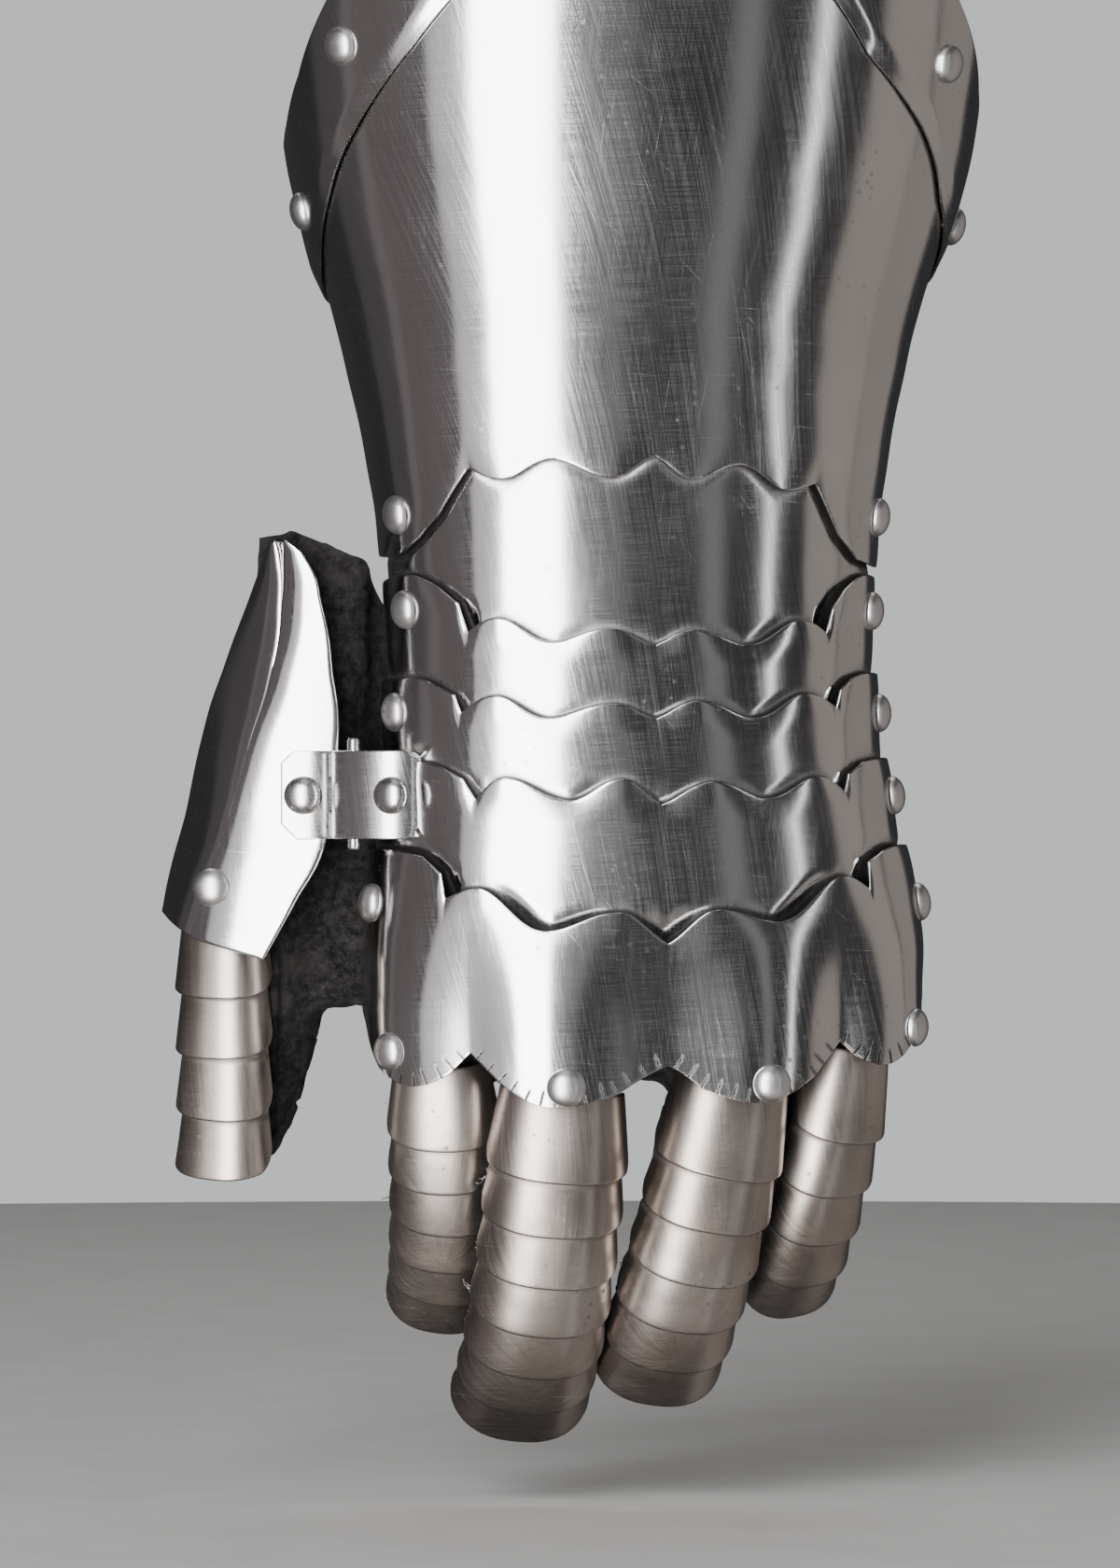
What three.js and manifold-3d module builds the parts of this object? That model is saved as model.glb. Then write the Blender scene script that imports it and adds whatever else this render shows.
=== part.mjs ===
// Left-hand armoured gauntlet: steel plates over a suede glove, hanging with the fingers down.
// Millimetres. +Z points up the forearm, the back of the hand faces -Y and the thumb is at -X.
// The origin is on the forearm's axis at the wrist.
import * as THREE from 'three';
import * as BufferGeometryUtils from 'three/addons/utils/BufferGeometryUtils.js';
import Module from 'manifold-3d';

const wasm = await Module();
wasm.setup();

// ---- driving dimensions ----
const steel = 1.2;
const fingerSteel = 1.0;
const leather = 1.8;
const plateGap = 0.5;
const layer = steel + plateGap;
const fingerLayer = fingerSteel + 0.4;
const roundness = 2.5;
const fingerRoundness = 2.4;
const flapAngle = 106;
const thumbFlapAngle = 95;
const cuffAngle = 157;
const droop = 0.13;
const coverMargin = 0.9;
const tuck = 4;
const lameTuck = 4.2;
const stallGap = 1.0;
const stallPalm = 8.4;
const gloveSlack = 4.6;
const rivet = {
  head: 3.6, rise: 2.0, shank: 1.5, tail: 2.4, tailHeight: 0.8,
  seat: 0.45, tailSeat: 0.7, clearance: 0.3, sides: 8,
};
const pin = { x: -54.5, y: -9.4, radius: 1.2, top: -34.8, bottom: -56.2 };
const leaf = {
  sheet: 1.6, fold: 0.95, gap: 0.5, roll: 3.5,
  top: -37.2, bottom: -54.2, chamfer: 3.0, eye: 2.2, knuckle: 5.2,
};

// Half-widths and depths of the arm and hand under the outermost layer, by height.
const body = [
  { z: 176, halfWidth: 69.0, back: 62.0, palm: 52.0, centre: 0.5 },
  { z: 140, halfWidth: 68.0, back: 60.0, palm: 51.0, centre: 0.5 },
  { z: 109, halfWidth: 66.3, back: 57.5, palm: 49.5, centre: 0.5 },
  { z: 87, halfWidth: 64.2, back: 54.5, palm: 47.0, centre: 0.3 },
  { z: 67, halfWidth: 60.4, back: 49.8, palm: 44.0, centre: 0.0 },
  { z: 49, halfWidth: 55.4, back: 44.6, palm: 40.0, centre: -0.3 },
  { z: 36, halfWidth: 52.3, back: 40.6, palm: 37.0, centre: -0.2 },
  { z: 18, halfWidth: 48.8, back: 36.6, palm: 32.0, centre: 0.0 },
  { z: 0, halfWidth: 46.8, back: 34.6, palm: 29.0, centre: 0.2 },
  { z: -18, halfWidth: 46.8, back: 34.4, palm: 28.0, centre: 0.5 },
  { z: -31, halfWidth: 47.6, back: 34.4, palm: 27.0, centre: 0.6 },
  { z: -47, halfWidth: 49.6, back: 34.4, palm: 26.0, centre: 1.5 },
  { z: -67, halfWidth: 52.6, back: 34.0, palm: 26.0, centre: 2.6 },
  { z: -82, halfWidth: 53.0, back: 33.2, palm: 26.0, centre: 3.0 },
  { z: -110, halfWidth: 51.5, back: 31.0, palm: 26.0, centre: 3.2 },
];

// Scalloped edges: left and right angle round the hand, height there, and how the edge turns.
const cuffLower = [
  { left: 0, right: 0, leftZ: 18.7, rightZ: 18.7, turn: 'cusp' },
  { left: 6, right: 5, leftZ: 14.5, rightZ: 14.3, turn: 'crest' },
  { left: 18, right: 14, leftZ: 18.0, rightZ: 17.1, turn: 'crest' },
  { left: 31, right: 27, leftZ: 14.2, rightZ: 12.4, turn: 'crest' },
  { left: 40, right: 35, leftZ: 16.4, rightZ: 13.8, turn: 'cusp' },
  { left: 52, right: 46, leftZ: 7.6, rightZ: 4.0, turn: 'line' },
  { left: 61, right: 56, leftZ: 3.4, rightZ: -0.4, turn: 'line' },
  { left: 78, right: 74, leftZ: 0.0, rightZ: -1.6, turn: 'crest' },
  { left: 100, right: 100, leftZ: 1.0, rightZ: 0.6, turn: 'line' },
  { left: 125, right: 125, leftZ: 6.0, rightZ: 6.0, turn: 'crest' },
  { left: 160, right: 160, leftZ: 6.0, rightZ: 6.0, turn: 'crest' },
];
const lameOneUpper = [
  { left: 0, right: 0, leftZ: -17.2, rightZ: -17.2, turn: 'cusp' },
  { left: 7, right: 5, leftZ: -14.0, rightZ: -14.2, turn: 'crest' },
  { left: 19, right: 17, leftZ: -16.6, rightZ: -17.0, turn: 'crest' },
  { left: 34, right: 32, leftZ: -12.0, rightZ: -12.2, turn: 'crest' },
  { left: 43, right: 41, leftZ: -14.6, rightZ: -14.5, turn: 'cusp' },
  { left: 46, right: 43.5, leftZ: -9.2, rightZ: -9.6, turn: 'line' },
  { left: 54, right: 49, leftZ: -5.8, rightZ: -6.2, turn: 'line' },
  { left: 70, right: 65, leftZ: -3.3, rightZ: -3.1, turn: 'crest' },
  { left: 106, right: 106, leftZ: -4.6, rightZ: -4.6, turn: 'crest' },
];
const lameTwoUpper = [
  { left: 0, right: 0, leftZ: -31.2, rightZ: -31.2, turn: 'cusp' },
  { left: 6, right: 6, leftZ: -28.3, rightZ: -27.7, turn: 'crest' },
  { left: 20, right: 18, leftZ: -31.1, rightZ: -31.0, turn: 'crest' },
  { left: 34, right: 33, leftZ: -26.8, rightZ: -26.2, turn: 'crest' },
  { left: 44.5, right: 44, leftZ: -30.0, rightZ: -28.9, turn: 'cusp' },
  { left: 47, right: 46, leftZ: -26.6, rightZ: -25.5, turn: 'line' },
  { left: 53, right: 52, leftZ: -25.0, rightZ: -23.2, turn: 'line' },
  { left: 66, right: 66, leftZ: -23.1, rightZ: -22.0, turn: 'crest' },
  { left: 106, right: 106, leftZ: -23.4, rightZ: -22.6, turn: 'crest' },
];
const lameThreeUpper = [
  { left: 0, right: 0, leftZ: -47.0, rightZ: -47.6, turn: 'cusp' },
  { left: 5, right: 8, leftZ: -42.6, rightZ: -43.1, turn: 'crest' },
  { left: 15, right: 19, leftZ: -46.7, rightZ: -46.3, turn: 'crest' },
  { left: 31, right: 34, leftZ: -42.4, rightZ: -42.0, turn: 'crest' },
  { left: 39, right: 42.5, leftZ: -46.5, rightZ: -45.0, turn: 'cusp' },
  { left: 43, right: 45, leftZ: -42.6, rightZ: -41.6, turn: 'line' },
  { left: 50, right: 53, leftZ: -40.4, rightZ: -39.3, turn: 'line' },
  { left: 66, right: 70, leftZ: -39.0, rightZ: -38.4, turn: 'crest' },
  { left: 106, right: 106, leftZ: -39.0, rightZ: -39.0, turn: 'crest' },
];
const knuckleUpper = [
  { left: 0, right: 0, leftZ: -74.0, rightZ: -74.0, turn: 'cusp' },
  { left: 6, right: 7, leftZ: -68.0, rightZ: -67.5, turn: 'crest' },
  { left: 20, right: 18, leftZ: -71.6, rightZ: -69.8, turn: 'crest' },
  { left: 37, right: 37, leftZ: -63.5, rightZ: -61.2, turn: 'crest' },
  { left: 46, right: 45, leftZ: -65.3, rightZ: -63.6, turn: 'cusp' },
  { left: 48, right: 46.5, leftZ: -60.6, rightZ: -58.4, turn: 'line' },
  { left: 55, right: 54, leftZ: -57.4, rightZ: -56.4, turn: 'line' },
  { left: 72, right: 68, leftZ: -56.0, rightZ: -55.2, turn: 'crest' },
  { left: 106, right: 106, leftZ: -56.6, rightZ: -55.6, turn: 'crest' },
];
const knuckleLower = [
  { left: 0, right: 0, leftZ: -97.5, rightZ: -97.5, turn: 'cusp' },
  { left: 7, right: 4, leftZ: -103.0, rightZ: -101.8, turn: 'line' },
  { left: 18, right: 13, leftZ: -105.3, rightZ: -104.6, turn: 'crest' },
  { left: 31, right: 26, leftZ: -100.6, rightZ: -99.8, turn: 'line' },
  { left: 39, right: 34, leftZ: -95.0, rightZ: -92.8, turn: 'cusp' },
  { left: 45, right: 39, leftZ: -99.0, rightZ: -96.0, turn: 'line' },
  { left: 56, right: 47, leftZ: -101.5, rightZ: -97.7, turn: 'crest' },
  { left: 72, right: 60, leftZ: -98.0, rightZ: -93.0, turn: 'line' },
  { left: 90, right: 78, leftZ: -89.0, rightZ: -86.0, turn: 'line' },
  { left: 106, right: 106, leftZ: -84.0, rightZ: -83.0, turn: 'crest' },
];
const rim = [
  { left: 0, right: 0, leftZ: 173, rightZ: 173, turn: 'cusp' },
  { left: 22, right: 22, leftZ: 144, rightZ: 144, turn: 'line' },
  { left: 40, right: 38, leftZ: 123, rightZ: 122, turn: 'line' },
  { left: 60, right: 50, leftZ: 107, rightZ: 108, turn: 'line' },
  { left: 76, right: 70, leftZ: 92, rightZ: 90, turn: 'line' },
  { left: 92, right: 90, leftZ: 82, rightZ: 80, turn: 'line' },
  { left: 115, right: 115, leftZ: 78, rightZ: 78, turn: 'crest' },
  { left: 160, right: 160, leftZ: 78, rightZ: 78, turn: 'crest' },
];
const borderLower = [
  { left: 0, right: 0, leftZ: 140, rightZ: 140, turn: 'cusp' },
  { left: 27, right: 18, leftZ: 109, rightZ: 109, turn: 'line' },
  { left: 41, right: 29, leftZ: 94.5, rightZ: 94, turn: 'line' },
  { left: 57, right: 46, leftZ: 80.5, rightZ: 81, turn: 'line' },
  { left: 73, right: 61, leftZ: 67.5, rightZ: 68, turn: 'line' },
  { left: 92, right: 86, leftZ: 54, rightZ: 55, turn: 'line' },
  { left: 115, right: 112, leftZ: 50, rightZ: 50, turn: 'crest' },
  { left: 160, right: 160, leftZ: 50, rightZ: 50, turn: 'crest' },
];

// Hidden edges of the plates, under their neighbours: height on the back and at the sides.
const wristTop = { back: 25.5, side: 13.0 };
const wristBottom = { back: -23.0, side: -14.6 };
const lameOneBottom = { back: -37.0, side: -34.0 };
const lameTwoBottom = { back: -53.0, side: -50.2 };
const lameThreeBottom = { back: -79.5, side: -71.0 };

// Plates, each with the edges of its face, the plate under its upper end and the plate over its lower end.
const plates = [
  { name: 'cuff_plate', upper: rim, lower: cuffLower, rows: 6, swell: false },
  { name: 'cuff_border', upper: rim, lower: borderLower, rows: 2, swell: false },
  { name: 'wrist_lame', upper: wristTop, lower: wristBottom, swell: false,
    coveredAbove: cuffLower, coveredBelow: lameOneUpper },
  { name: 'hand_lame_1', upper: lameOneUpper, lower: lameOneBottom, swell: false,
    overlaps: wristBottom, coveredBelow: lameTwoUpper },
  { name: 'hand_lame_2', upper: lameTwoUpper, lower: lameTwoBottom, swell: false,
    overlaps: lameOneBottom, coveredBelow: lameThreeUpper },
  { name: 'hand_lame_3', upper: lameThreeUpper, lower: lameThreeBottom, swell: false,
    overlaps: lameTwoBottom, coveredBelow: knuckleUpper },
  { name: 'knuckle_plate', upper: knuckleUpper, lower: knuckleLower, rows: 4, swell: true },
];

// Knuckle lobes: the angles of the creases between them and how far each lobe swells.
const creases = [-90, -39, 0, 34, 78];
const lobeSwell = 1.9;
const swellStart = 58;
const swellFull = 92;

// Side rivets: height and angle each side; the thumb-side one of hand_lame_3 is the hinge leaf's.
const pivots = [
  { plate: 'cuff_plate', under: 'wrist_lame', z: 8.1, angle: 71 },
  { plate: 'hand_lame_1', under: 'wrist_lame', z: -10.1, angle: 71 },
  { plate: 'hand_lame_2', under: 'hand_lame_1', z: -29.8, angle: 76 },
  { plate: 'hand_lame_3', under: 'hand_lame_2', z: -45.8, angle: 75 },
  { plate: 'knuckle_plate', under: 'hand_lame_3', z: -66.5, angle: 79 },
];
const borderRivets = [
  { name: 'border_rivet_1', angle: -88, z: 67 },
  { name: 'border_rivet_2', angle: -58, z: 96 },
  { name: 'border_rivet_3', angle: 50, z: 93.5 },
  { name: 'border_rivet_4', angle: 84, z: 65 },
];
const borderRivetReach = 0.5;
const lobeRivets = [
  { angle: -65, z: -94.9 },
  { angle: -16, z: -101.4 },
  { angle: 16, z: -100.8 },
  { angle: 61, z: -90.6 },
];

// Fingers: place of the root round the hand, half-width, lean, turn of the back, curl, and the lames.
const fingers = [
  { name: 'index', angle: -51, inset: 2.4, halfWidth: 10.3, depth: 10.0, lean: 5, turn: -16,
    curl: [0, 58, 0.9], firstEdge: 25.5, pitch: 9.6, lames: 6 },
  { name: 'middle', angle: -15.2, inset: 1.6, halfWidth: 13.0, depth: 11.5, lean: -4, turn: -2,
    curl: [0, 66, 1.5], firstEdge: 31.0, pitch: 10.8, lames: 7 },
  { name: 'ring', angle: 14, inset: 1.6, halfWidth: 12.2, depth: 11.0, lean: -11, turn: 4,
    curl: [0, 60, 1.4], firstEdge: 30.5, pitch: 11.3, lames: 6 },
  { name: 'little', angle: 45.5, inset: 2.6, halfWidth: 9.4, depth: 9.5, lean: -10, turn: 22,
    curl: [0, 64, 1.2], firstEdge: 24.0, pitch: 11.6, lames: 5 },
];
const thumb = { x: -77.0, y: -0.8, halfWidth: 9.0, depth: 9.0, lean: 1, turn: -28,
  curl: [2, 14, 1.4], firstEdge: 16.5, pitch: 12.0, lames: 4 };
const fingerTop = -89;
const gloveCrease = 3.2;
const thumbTop = -68.5;
const lameReach = 84;
const lameCorner = 3.2;

// Thumb plate: x and y of its hand-side edge, ridge and outer edge by height.
const thumbPlateRows = [
  { z: 3.4, nearX: -66.6, nearY: 0.6, ridgeX: -68.2, ridgeY: 0.2, farX: -69.6, farY: 2.2 },
  { z: 0, nearX: -64.0, nearY: 0.2, ridgeX: -68.4, ridgeY: -0.2, farX: -70.6, farY: 5.6 },
  { z: -8, nearX: -60.6, nearY: -2.2, ridgeX: -68.6, ridgeY: -0.6, farX: -73.2, farY: 10.5 },
  { z: -22, nearX: -57.8, nearY: -4.2, ridgeX: -70.4, ridgeY: -0.8, farX: -77.8, farY: 15.0 },
  { z: -36, nearX: -56.6, nearY: -4.6, ridgeX: -74.4, ridgeY: -0.6, farX: -81.6, farY: 17.6 },
  { z: -54, nearX: -58.8, nearY: -4.8, ridgeX: -79.4, ridgeY: -0.8, farX: -84.8, farY: 19.0 },
  { z: -66, nearX: -64.6, nearY: -5.4, ridgeX: -83.6, ridgeY: -1.2, farX: -87.6, farY: 18.0 },
  { z: -77.5, nearX: -70.8, nearY: -5.2, ridgeX: -86.6, ridgeY: -0.6, farX: -89.6, farY: 16.0 },
];
const thumbPlateLowerRise = 9.0;
const thumbRivet = { across: -0.14, z: -66.5, seat: 0.8, stack: steel + 2.0 };
const leafRivetZ = -45.8;
const handLeafAngles = [-50, -54, -64];
const thumbLeafSpan = [-68.0, -65.0, -61.0, -57.3];
const leafRivetX = -63.9;

// Thumb part of the glove: an oval tube, open at the wrist and closed at its tip.
const thumbStall = [
  { z: -3, x: -61.8, y: 11.9, reach: 8.8, depth: 7.8, slant: 8 },
  { z: -15, x: -62.2, y: 12.1, reach: 10.0, depth: 8.6, slant: 8 },
  { z: -30, x: -64.4, y: 12.0, reach: 10.8, depth: 8.6, slant: 8 },
  { z: -48, x: -66.6, y: 12.0, reach: 12.2, depth: 8.4, slant: 8 },
  { z: -66, x: -69.0, y: 11.6, reach: 13.6, depth: 6.8, slant: 12 },
  { z: -84, x: -70.4, y: 12.2, reach: 14.0, depth: 5.6, slant: 20 },
  { z: -102, x: -72.2, y: 15.4, reach: 12.0, depth: 5.0, slant: 22 },
  { z: -114, x: -73.8, y: 17.8, reach: 9.2, depth: 4.6, slant: 24 },
  { z: -120, x: -75.0, y: 18.8, reach: 5.6, depth: 3.4, slant: 24 },
];

const steelMaterial = { color: 0xb9b7b5, roughness: 0.32, metalness: 1.0 };
const fingerMaterial = { color: 0xb3aca6, roughness: 0.38, metalness: 1.0 };
const leatherMaterial = { color: 0x1c1a19, roughness: 0.95, metalness: 0.0 };

const radians = THREE.MathUtils.degToRad;
const signedPower = (value, power) => Math.sign(value) * Math.abs(value) ** power;
const gauntlet = new THREE.Group();

function addMesh(name, geometry, material) {
  const mesh = new THREE.Mesh(geometry, new THREE.MeshStandardMaterial(material));
  mesh.name = name;
  gauntlet.add(mesh);
}

// ---- tables ----
// Smooth value of one column of a table sorted by falling z.
function tableAt(rows, key, z) {
  const last = rows.length - 1;
  if (z >= rows[0].z) return rows[0][key];
  if (z <= rows[last].z) return rows[last][key];
  let i = 0;
  while (z < rows[i + 1].z) i += 1;
  const slope = (j) => {
    const above = rows[Math.max(j - 1, 0)];
    const below = rows[Math.min(j + 1, last)];
    return (above[key] - below[key]) / (above.z - below.z);
  };
  const span = rows[i].z - rows[i + 1].z;
  const t = (z - rows[i + 1].z) / span;
  const h = t * t * (3 - 2 * t);
  const low = rows[i + 1][key] + slope(i + 1) * span * t;
  const high = rows[i][key] - slope(i) * span * (1 - t);
  return low * (1 - h) + high * h;
}

// Height of an edge at an angle: a hidden edge by its two heights, a scalloped one through its table.
function edgeAt(edge, angle) {
  if (!Array.isArray(edge)) {
    const sideways = THREE.MathUtils.smoothstep(Math.abs(angle), 40, 62);
    return edge.back + (edge.side - edge.back) * sideways;
  }
  const side = angle < 0 ? 'left' : 'right';
  const turned = Math.abs(angle);
  let i = 0;
  while (i < edge.length - 2 && turned > edge[i + 1][side]) i += 1;
  const near = edge[i];
  const far = edge[i + 1];
  const t = Math.min((turned - near[side]) / (far[side] - near[side]), 1);
  const flatNear = near.turn === 'crest';
  const flatFar = far.turn === 'crest';
  let blend = t;
  if (flatNear && flatFar) blend = (1 - Math.cos(Math.PI * t)) / 2;
  if (flatNear && !flatFar) blend = 1 - Math.cos((Math.PI * t) / 2);
  if (!flatNear && flatFar) blend = Math.sin((Math.PI * t) / 2);
  return near[`${side}Z`] + (far[`${side}Z`] - near[`${side}Z`]) * blend;
}

// ---- surfaces ----
// Swelling of the lobes over the knuckles, growing towards the fingers.
function swellAt(angle, z) {
  const grow = THREE.MathUtils.smoothstep(-z, swellStart, swellFull);
  const i = creases.findIndex((crease, k) => angle >= crease && angle <= creases[k + 1]);
  if (i < 0) return 0;
  const t = (angle - creases[i]) / (creases[i + 1] - creases[i]);
  return lobeSwell * grow * Math.sin(Math.PI * t);
}

// Point standing off the body by a lift; angle 0 is the middle of the back, 90 the little-finger side.
function bodyPoint(angle, z, lift, swell = 0) {
  const turned = radians(angle);
  const halfWidth = tableAt(body, 'halfWidth', z) + lift + swell;
  const depth = tableAt(body, Math.abs(angle) <= 90 ? 'back' : 'palm', z) + lift + swell;
  const x = tableAt(body, 'centre', z) + halfWidth * signedPower(Math.sin(turned), 2 / roundness);
  const y = -depth * signedPower(Math.cos(turned), 2 / roundness);
  return new THREE.Vector3(x, y, z);
}

// Height below which the next plate covers this one, with room for the steps in its edge.
function coveredBelow(plate, angle) {
  const heights = [-tuck, 0, tuck].map((aside) => edgeAt(plate.coveredBelow, angle + aside));
  return Math.max(...heights) + coverMargin;
}

// How far a plate's outer face stands off the body: raised over the plate above it, level with the body
// where the next plate covers it, and drooping under its neighbours so that it can tilt.
function liftAt(plate, angle, z) {
  if (plate.name === 'cuff_border') return 2 * layer;
  if (plate.name === 'cuff_plate') return layer;
  if (plate.name === 'knuckle_plate') return layer;
  const backness = 1 - THREE.MathUtils.smoothstep(Math.abs(angle), 45, 70);
  const covered = coveredBelow(plate, angle);
  if (z < covered) return -droop * backness * (covered - z);
  if (plate.overlaps) {
    const free = edgeAt(plate.overlaps, angle);
    return layer * THREE.MathUtils.clamp((z - covered) / (free - covered), 0, 1);
  }
  const hidden = edgeAt(plate.coveredAbove, angle) - tuck;
  return z > hidden ? -droop * backness * (z - hidden) : 0;
}

function platePoint(plate, angle, z, depth) {
  const swell = plate.swell ? swellAt(angle, z) : 0;
  return bodyPoint(angle, z, liftAt(plate, angle, z) - depth, swell);
}

// Unit normal of a plate's outer face.
function plateNormal(plate, angle, z) {
  const step = 1.2;
  const across = platePoint(plate, angle + step, z, 0).sub(platePoint(plate, angle - step, z, 0));
  const up = platePoint(plate, angle, z + step, 0).sub(platePoint(plate, angle, z - step, 0));
  return across.cross(up).normalize();
}

// Closed wall between an outer and an inner face, both given on a grid of columns and rows.
function wall(columns, rows, outerAt, innerAt) {
  const points = [];
  const index = [];
  const across = rows + 1;
  const inner = (columns + 1) * across;
  for (const faceAt of [outerAt, innerAt]) {
    for (let i = 0; i <= columns; i += 1) {
      for (let j = 0; j <= rows; j += 1) points.push(faceAt(i, j));
    }
  }
  const quad = (a, b, c, d) => index.push(a, b, c, a, c, d);
  for (let i = 0; i < columns; i += 1) {
    for (let j = 0; j < rows; j += 1) {
      const a = i * across + j;
      const b = a + across;
      quad(a, b, b + 1, a + 1);
      quad(inner + a, inner + a + 1, inner + b + 1, inner + b);
    }
  }
  for (let i = 0; i < columns; i += 1) {
    const a = i * across;
    const top = a + rows;
    quad(a, inner + a, inner + a + across, a + across);
    quad(top, top + across, inner + top + across, inner + top);
  }
  for (let j = 0; j < rows; j += 1) {
    const end = columns * across + j;
    quad(j, j + 1, inner + j + 1, inner + j);
    quad(end, inner + end, inner + end + 1, end + 1);
  }
  return solidGeometry(points, index);
}

// Geometry with its faces turned outwards.
function solidGeometry(points, index) {
  let volume = 0;
  for (let k = 0; k < index.length; k += 3) {
    const [a, b, c] = [points[index[k]], points[index[k + 1]], points[index[k + 2]]];
    volume += a.dot(new THREE.Vector3().crossVectors(b, c));
  }
  const facing = volume > 0 ? index : [...index].reverse();
  const geometry = new THREE.BufferGeometry().setFromPoints(points);
  geometry.setIndex(facing);
  return geometry;
}

// ---- booleans ----
function toSolid(geometry) {
  const bare = geometry.clone();
  bare.deleteAttribute('normal');
  bare.deleteAttribute('uv');
  const merged = BufferGeometryUtils.mergeVertices(bare, 1e-4);
  const vertProperties = new Float32Array(merged.attributes.position.array);
  const triVerts = new Uint32Array(merged.index.array);
  return new wasm.Manifold(new wasm.Mesh({ numProp: 3, vertProperties, triVerts }));
}

function toGeometry(solid) {
  const mesh = solid.getMesh();
  const geometry = new THREE.BufferGeometry();
  geometry.setAttribute('position', new THREE.BufferAttribute(mesh.vertProperties, 3));
  geometry.setIndex(new THREE.BufferAttribute(mesh.triVerts, 1));
  return geometry;
}

// ---- rivets ----
// Domed rivet along +Z with its head's underside at 0 and its tail's face below the stack.
function rivetGeometry(stack) {
  const tailTop = -(stack + rivet.seat + rivet.tailSeat);
  const profile = [new THREE.Vector2(0, tailTop - rivet.tailHeight)];
  profile.push(new THREE.Vector2(rivet.tail, tailTop - rivet.tailHeight));
  profile.push(new THREE.Vector2(rivet.tail, tailTop));
  profile.push(new THREE.Vector2(rivet.shank, tailTop));
  profile.push(new THREE.Vector2(rivet.shank, 0));
  profile.push(new THREE.Vector2(rivet.head, 0));
  profile.push(new THREE.Vector2(rivet.head * 0.72, rivet.rise * 0.72));
  profile.push(new THREE.Vector2(0, rivet.rise));
  const geometry = new THREE.LatheGeometry(profile, rivet.sides);
  return geometry.rotateX(Math.PI / 2);
}

function alongNormal(geometry, point, normal) {
  const turn = new THREE.Quaternion().setFromUnitVectors(new THREE.Vector3(0, 0, 1), normal);
  return geometry.applyQuaternion(turn).translate(point.x, point.y, point.z);
}

const plateNamed = (name) => plates.find((plate) => plate.name === name);

// Place of a rivet on a plate: the point on its outer face and the way its head faces.
function rivetSeat(plate, angle, z) {
  return { point: platePoint(plate, angle, z, 0), normal: plateNormal(plate, angle, z) };
}

// Hole cutter through a plate and the one beneath it.
function rivetHole(seat) {
  const length = 16;
  const radius = rivet.shank + rivet.clearance;
  const hole = new THREE.CylinderGeometry(radius, radius, length, rivet.sides);
  hole.rotateX(Math.PI / 2);
  return toSolid(alongNormal(hole, seat.point, seat.normal));
}

// ---- hand and cuff plates ----
// Rivet head made in one with the plate, sunk a little into it.
function lobeDome(plate, row) {
  const sunk = 0.7;
  const dome = new THREE.SphereGeometry(rivet.head, rivet.sides, 3, 0, 2 * Math.PI, 0, Math.PI / 2);
  const base = new THREE.CircleGeometry(rivet.head, rivet.sides).rotateX(Math.PI / 2);
  base.rotateY(Math.PI);
  const closed = BufferGeometryUtils.mergeGeometries([dome, base]);
  closed.scale(1, (rivet.rise + sunk) / rivet.head, 1).rotateX(Math.PI / 2);
  const normal = plateNormal(plate, row.angle, row.z);
  return toSolid(alongNormal(closed, platePoint(plate, row.angle, row.z, sunk), normal));
}

function columnAngles(plate) {
  const widest = 10;
  const wrapped = plate.name.startsWith('cuff');
  const from = wrapped ? -cuffAngle : -thumbFlapAngle;
  const to = wrapped ? cuffAngle : flapAngle;
  const stops = [0];
  for (const edge of [plate.upper, plate.lower].filter(Array.isArray)) {
    edge.forEach((row) => stops.push(-row.left, row.right));
  }
  if (plate.swell) stops.push(...creases);
  const sorted = stops.filter((stop) => stop > from + 2 && stop < to - 2).sort((a, b) => a - b);
  const angles = [from];
  for (const stop of [...sorted, to]) {
    const last = angles[angles.length - 1];
    if (stop - last > 1.4) {
      const parts = Math.ceil((stop - last) / widest);
      for (let k = 1; k <= parts; k += 1) angles.push(last + ((stop - last) * k) / parts);
    }
  }
  return angles;
}

// Heights of a plate's rows at an angle, from its lower edge up, with a row at each bend of the lame.
function levelsAt(plate, angle) {
  const low = edgeAt(plate.lower, angle);
  const high = edgeAt(plate.upper, angle);
  if (plate.rows) {
    return Array.from({ length: plate.rows + 1 }, (_, j) => low + ((high - low) * j) / plate.rows);
  }
  const covered = coveredBelow(plate, angle);
  if (plate.overlaps) return [low, covered, edgeAt(plate.overlaps, angle), high];
  const hidden = edgeAt(plate.coveredAbove, angle) - tuck;
  return [low, covered, (covered + hidden) / 2, hidden, high];
}

function plateGeometry(plate) {
  const angles = columnAngles(plate);
  const faceAt = (depth) => (i, j) => {
    const angle = angles[i];
    return platePoint(plate, angle, levelsAt(plate, angle)[j], depth);
  };
  return wall(angles.length - 1, levelsAt(plate, 0).length - 1, faceAt(0), faceAt(steel));
}

// The straight stretch of the hand leaf faces this way.
const leafWay = new THREE.Vector3(-0.66, -0.75, 0).normalize();
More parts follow.
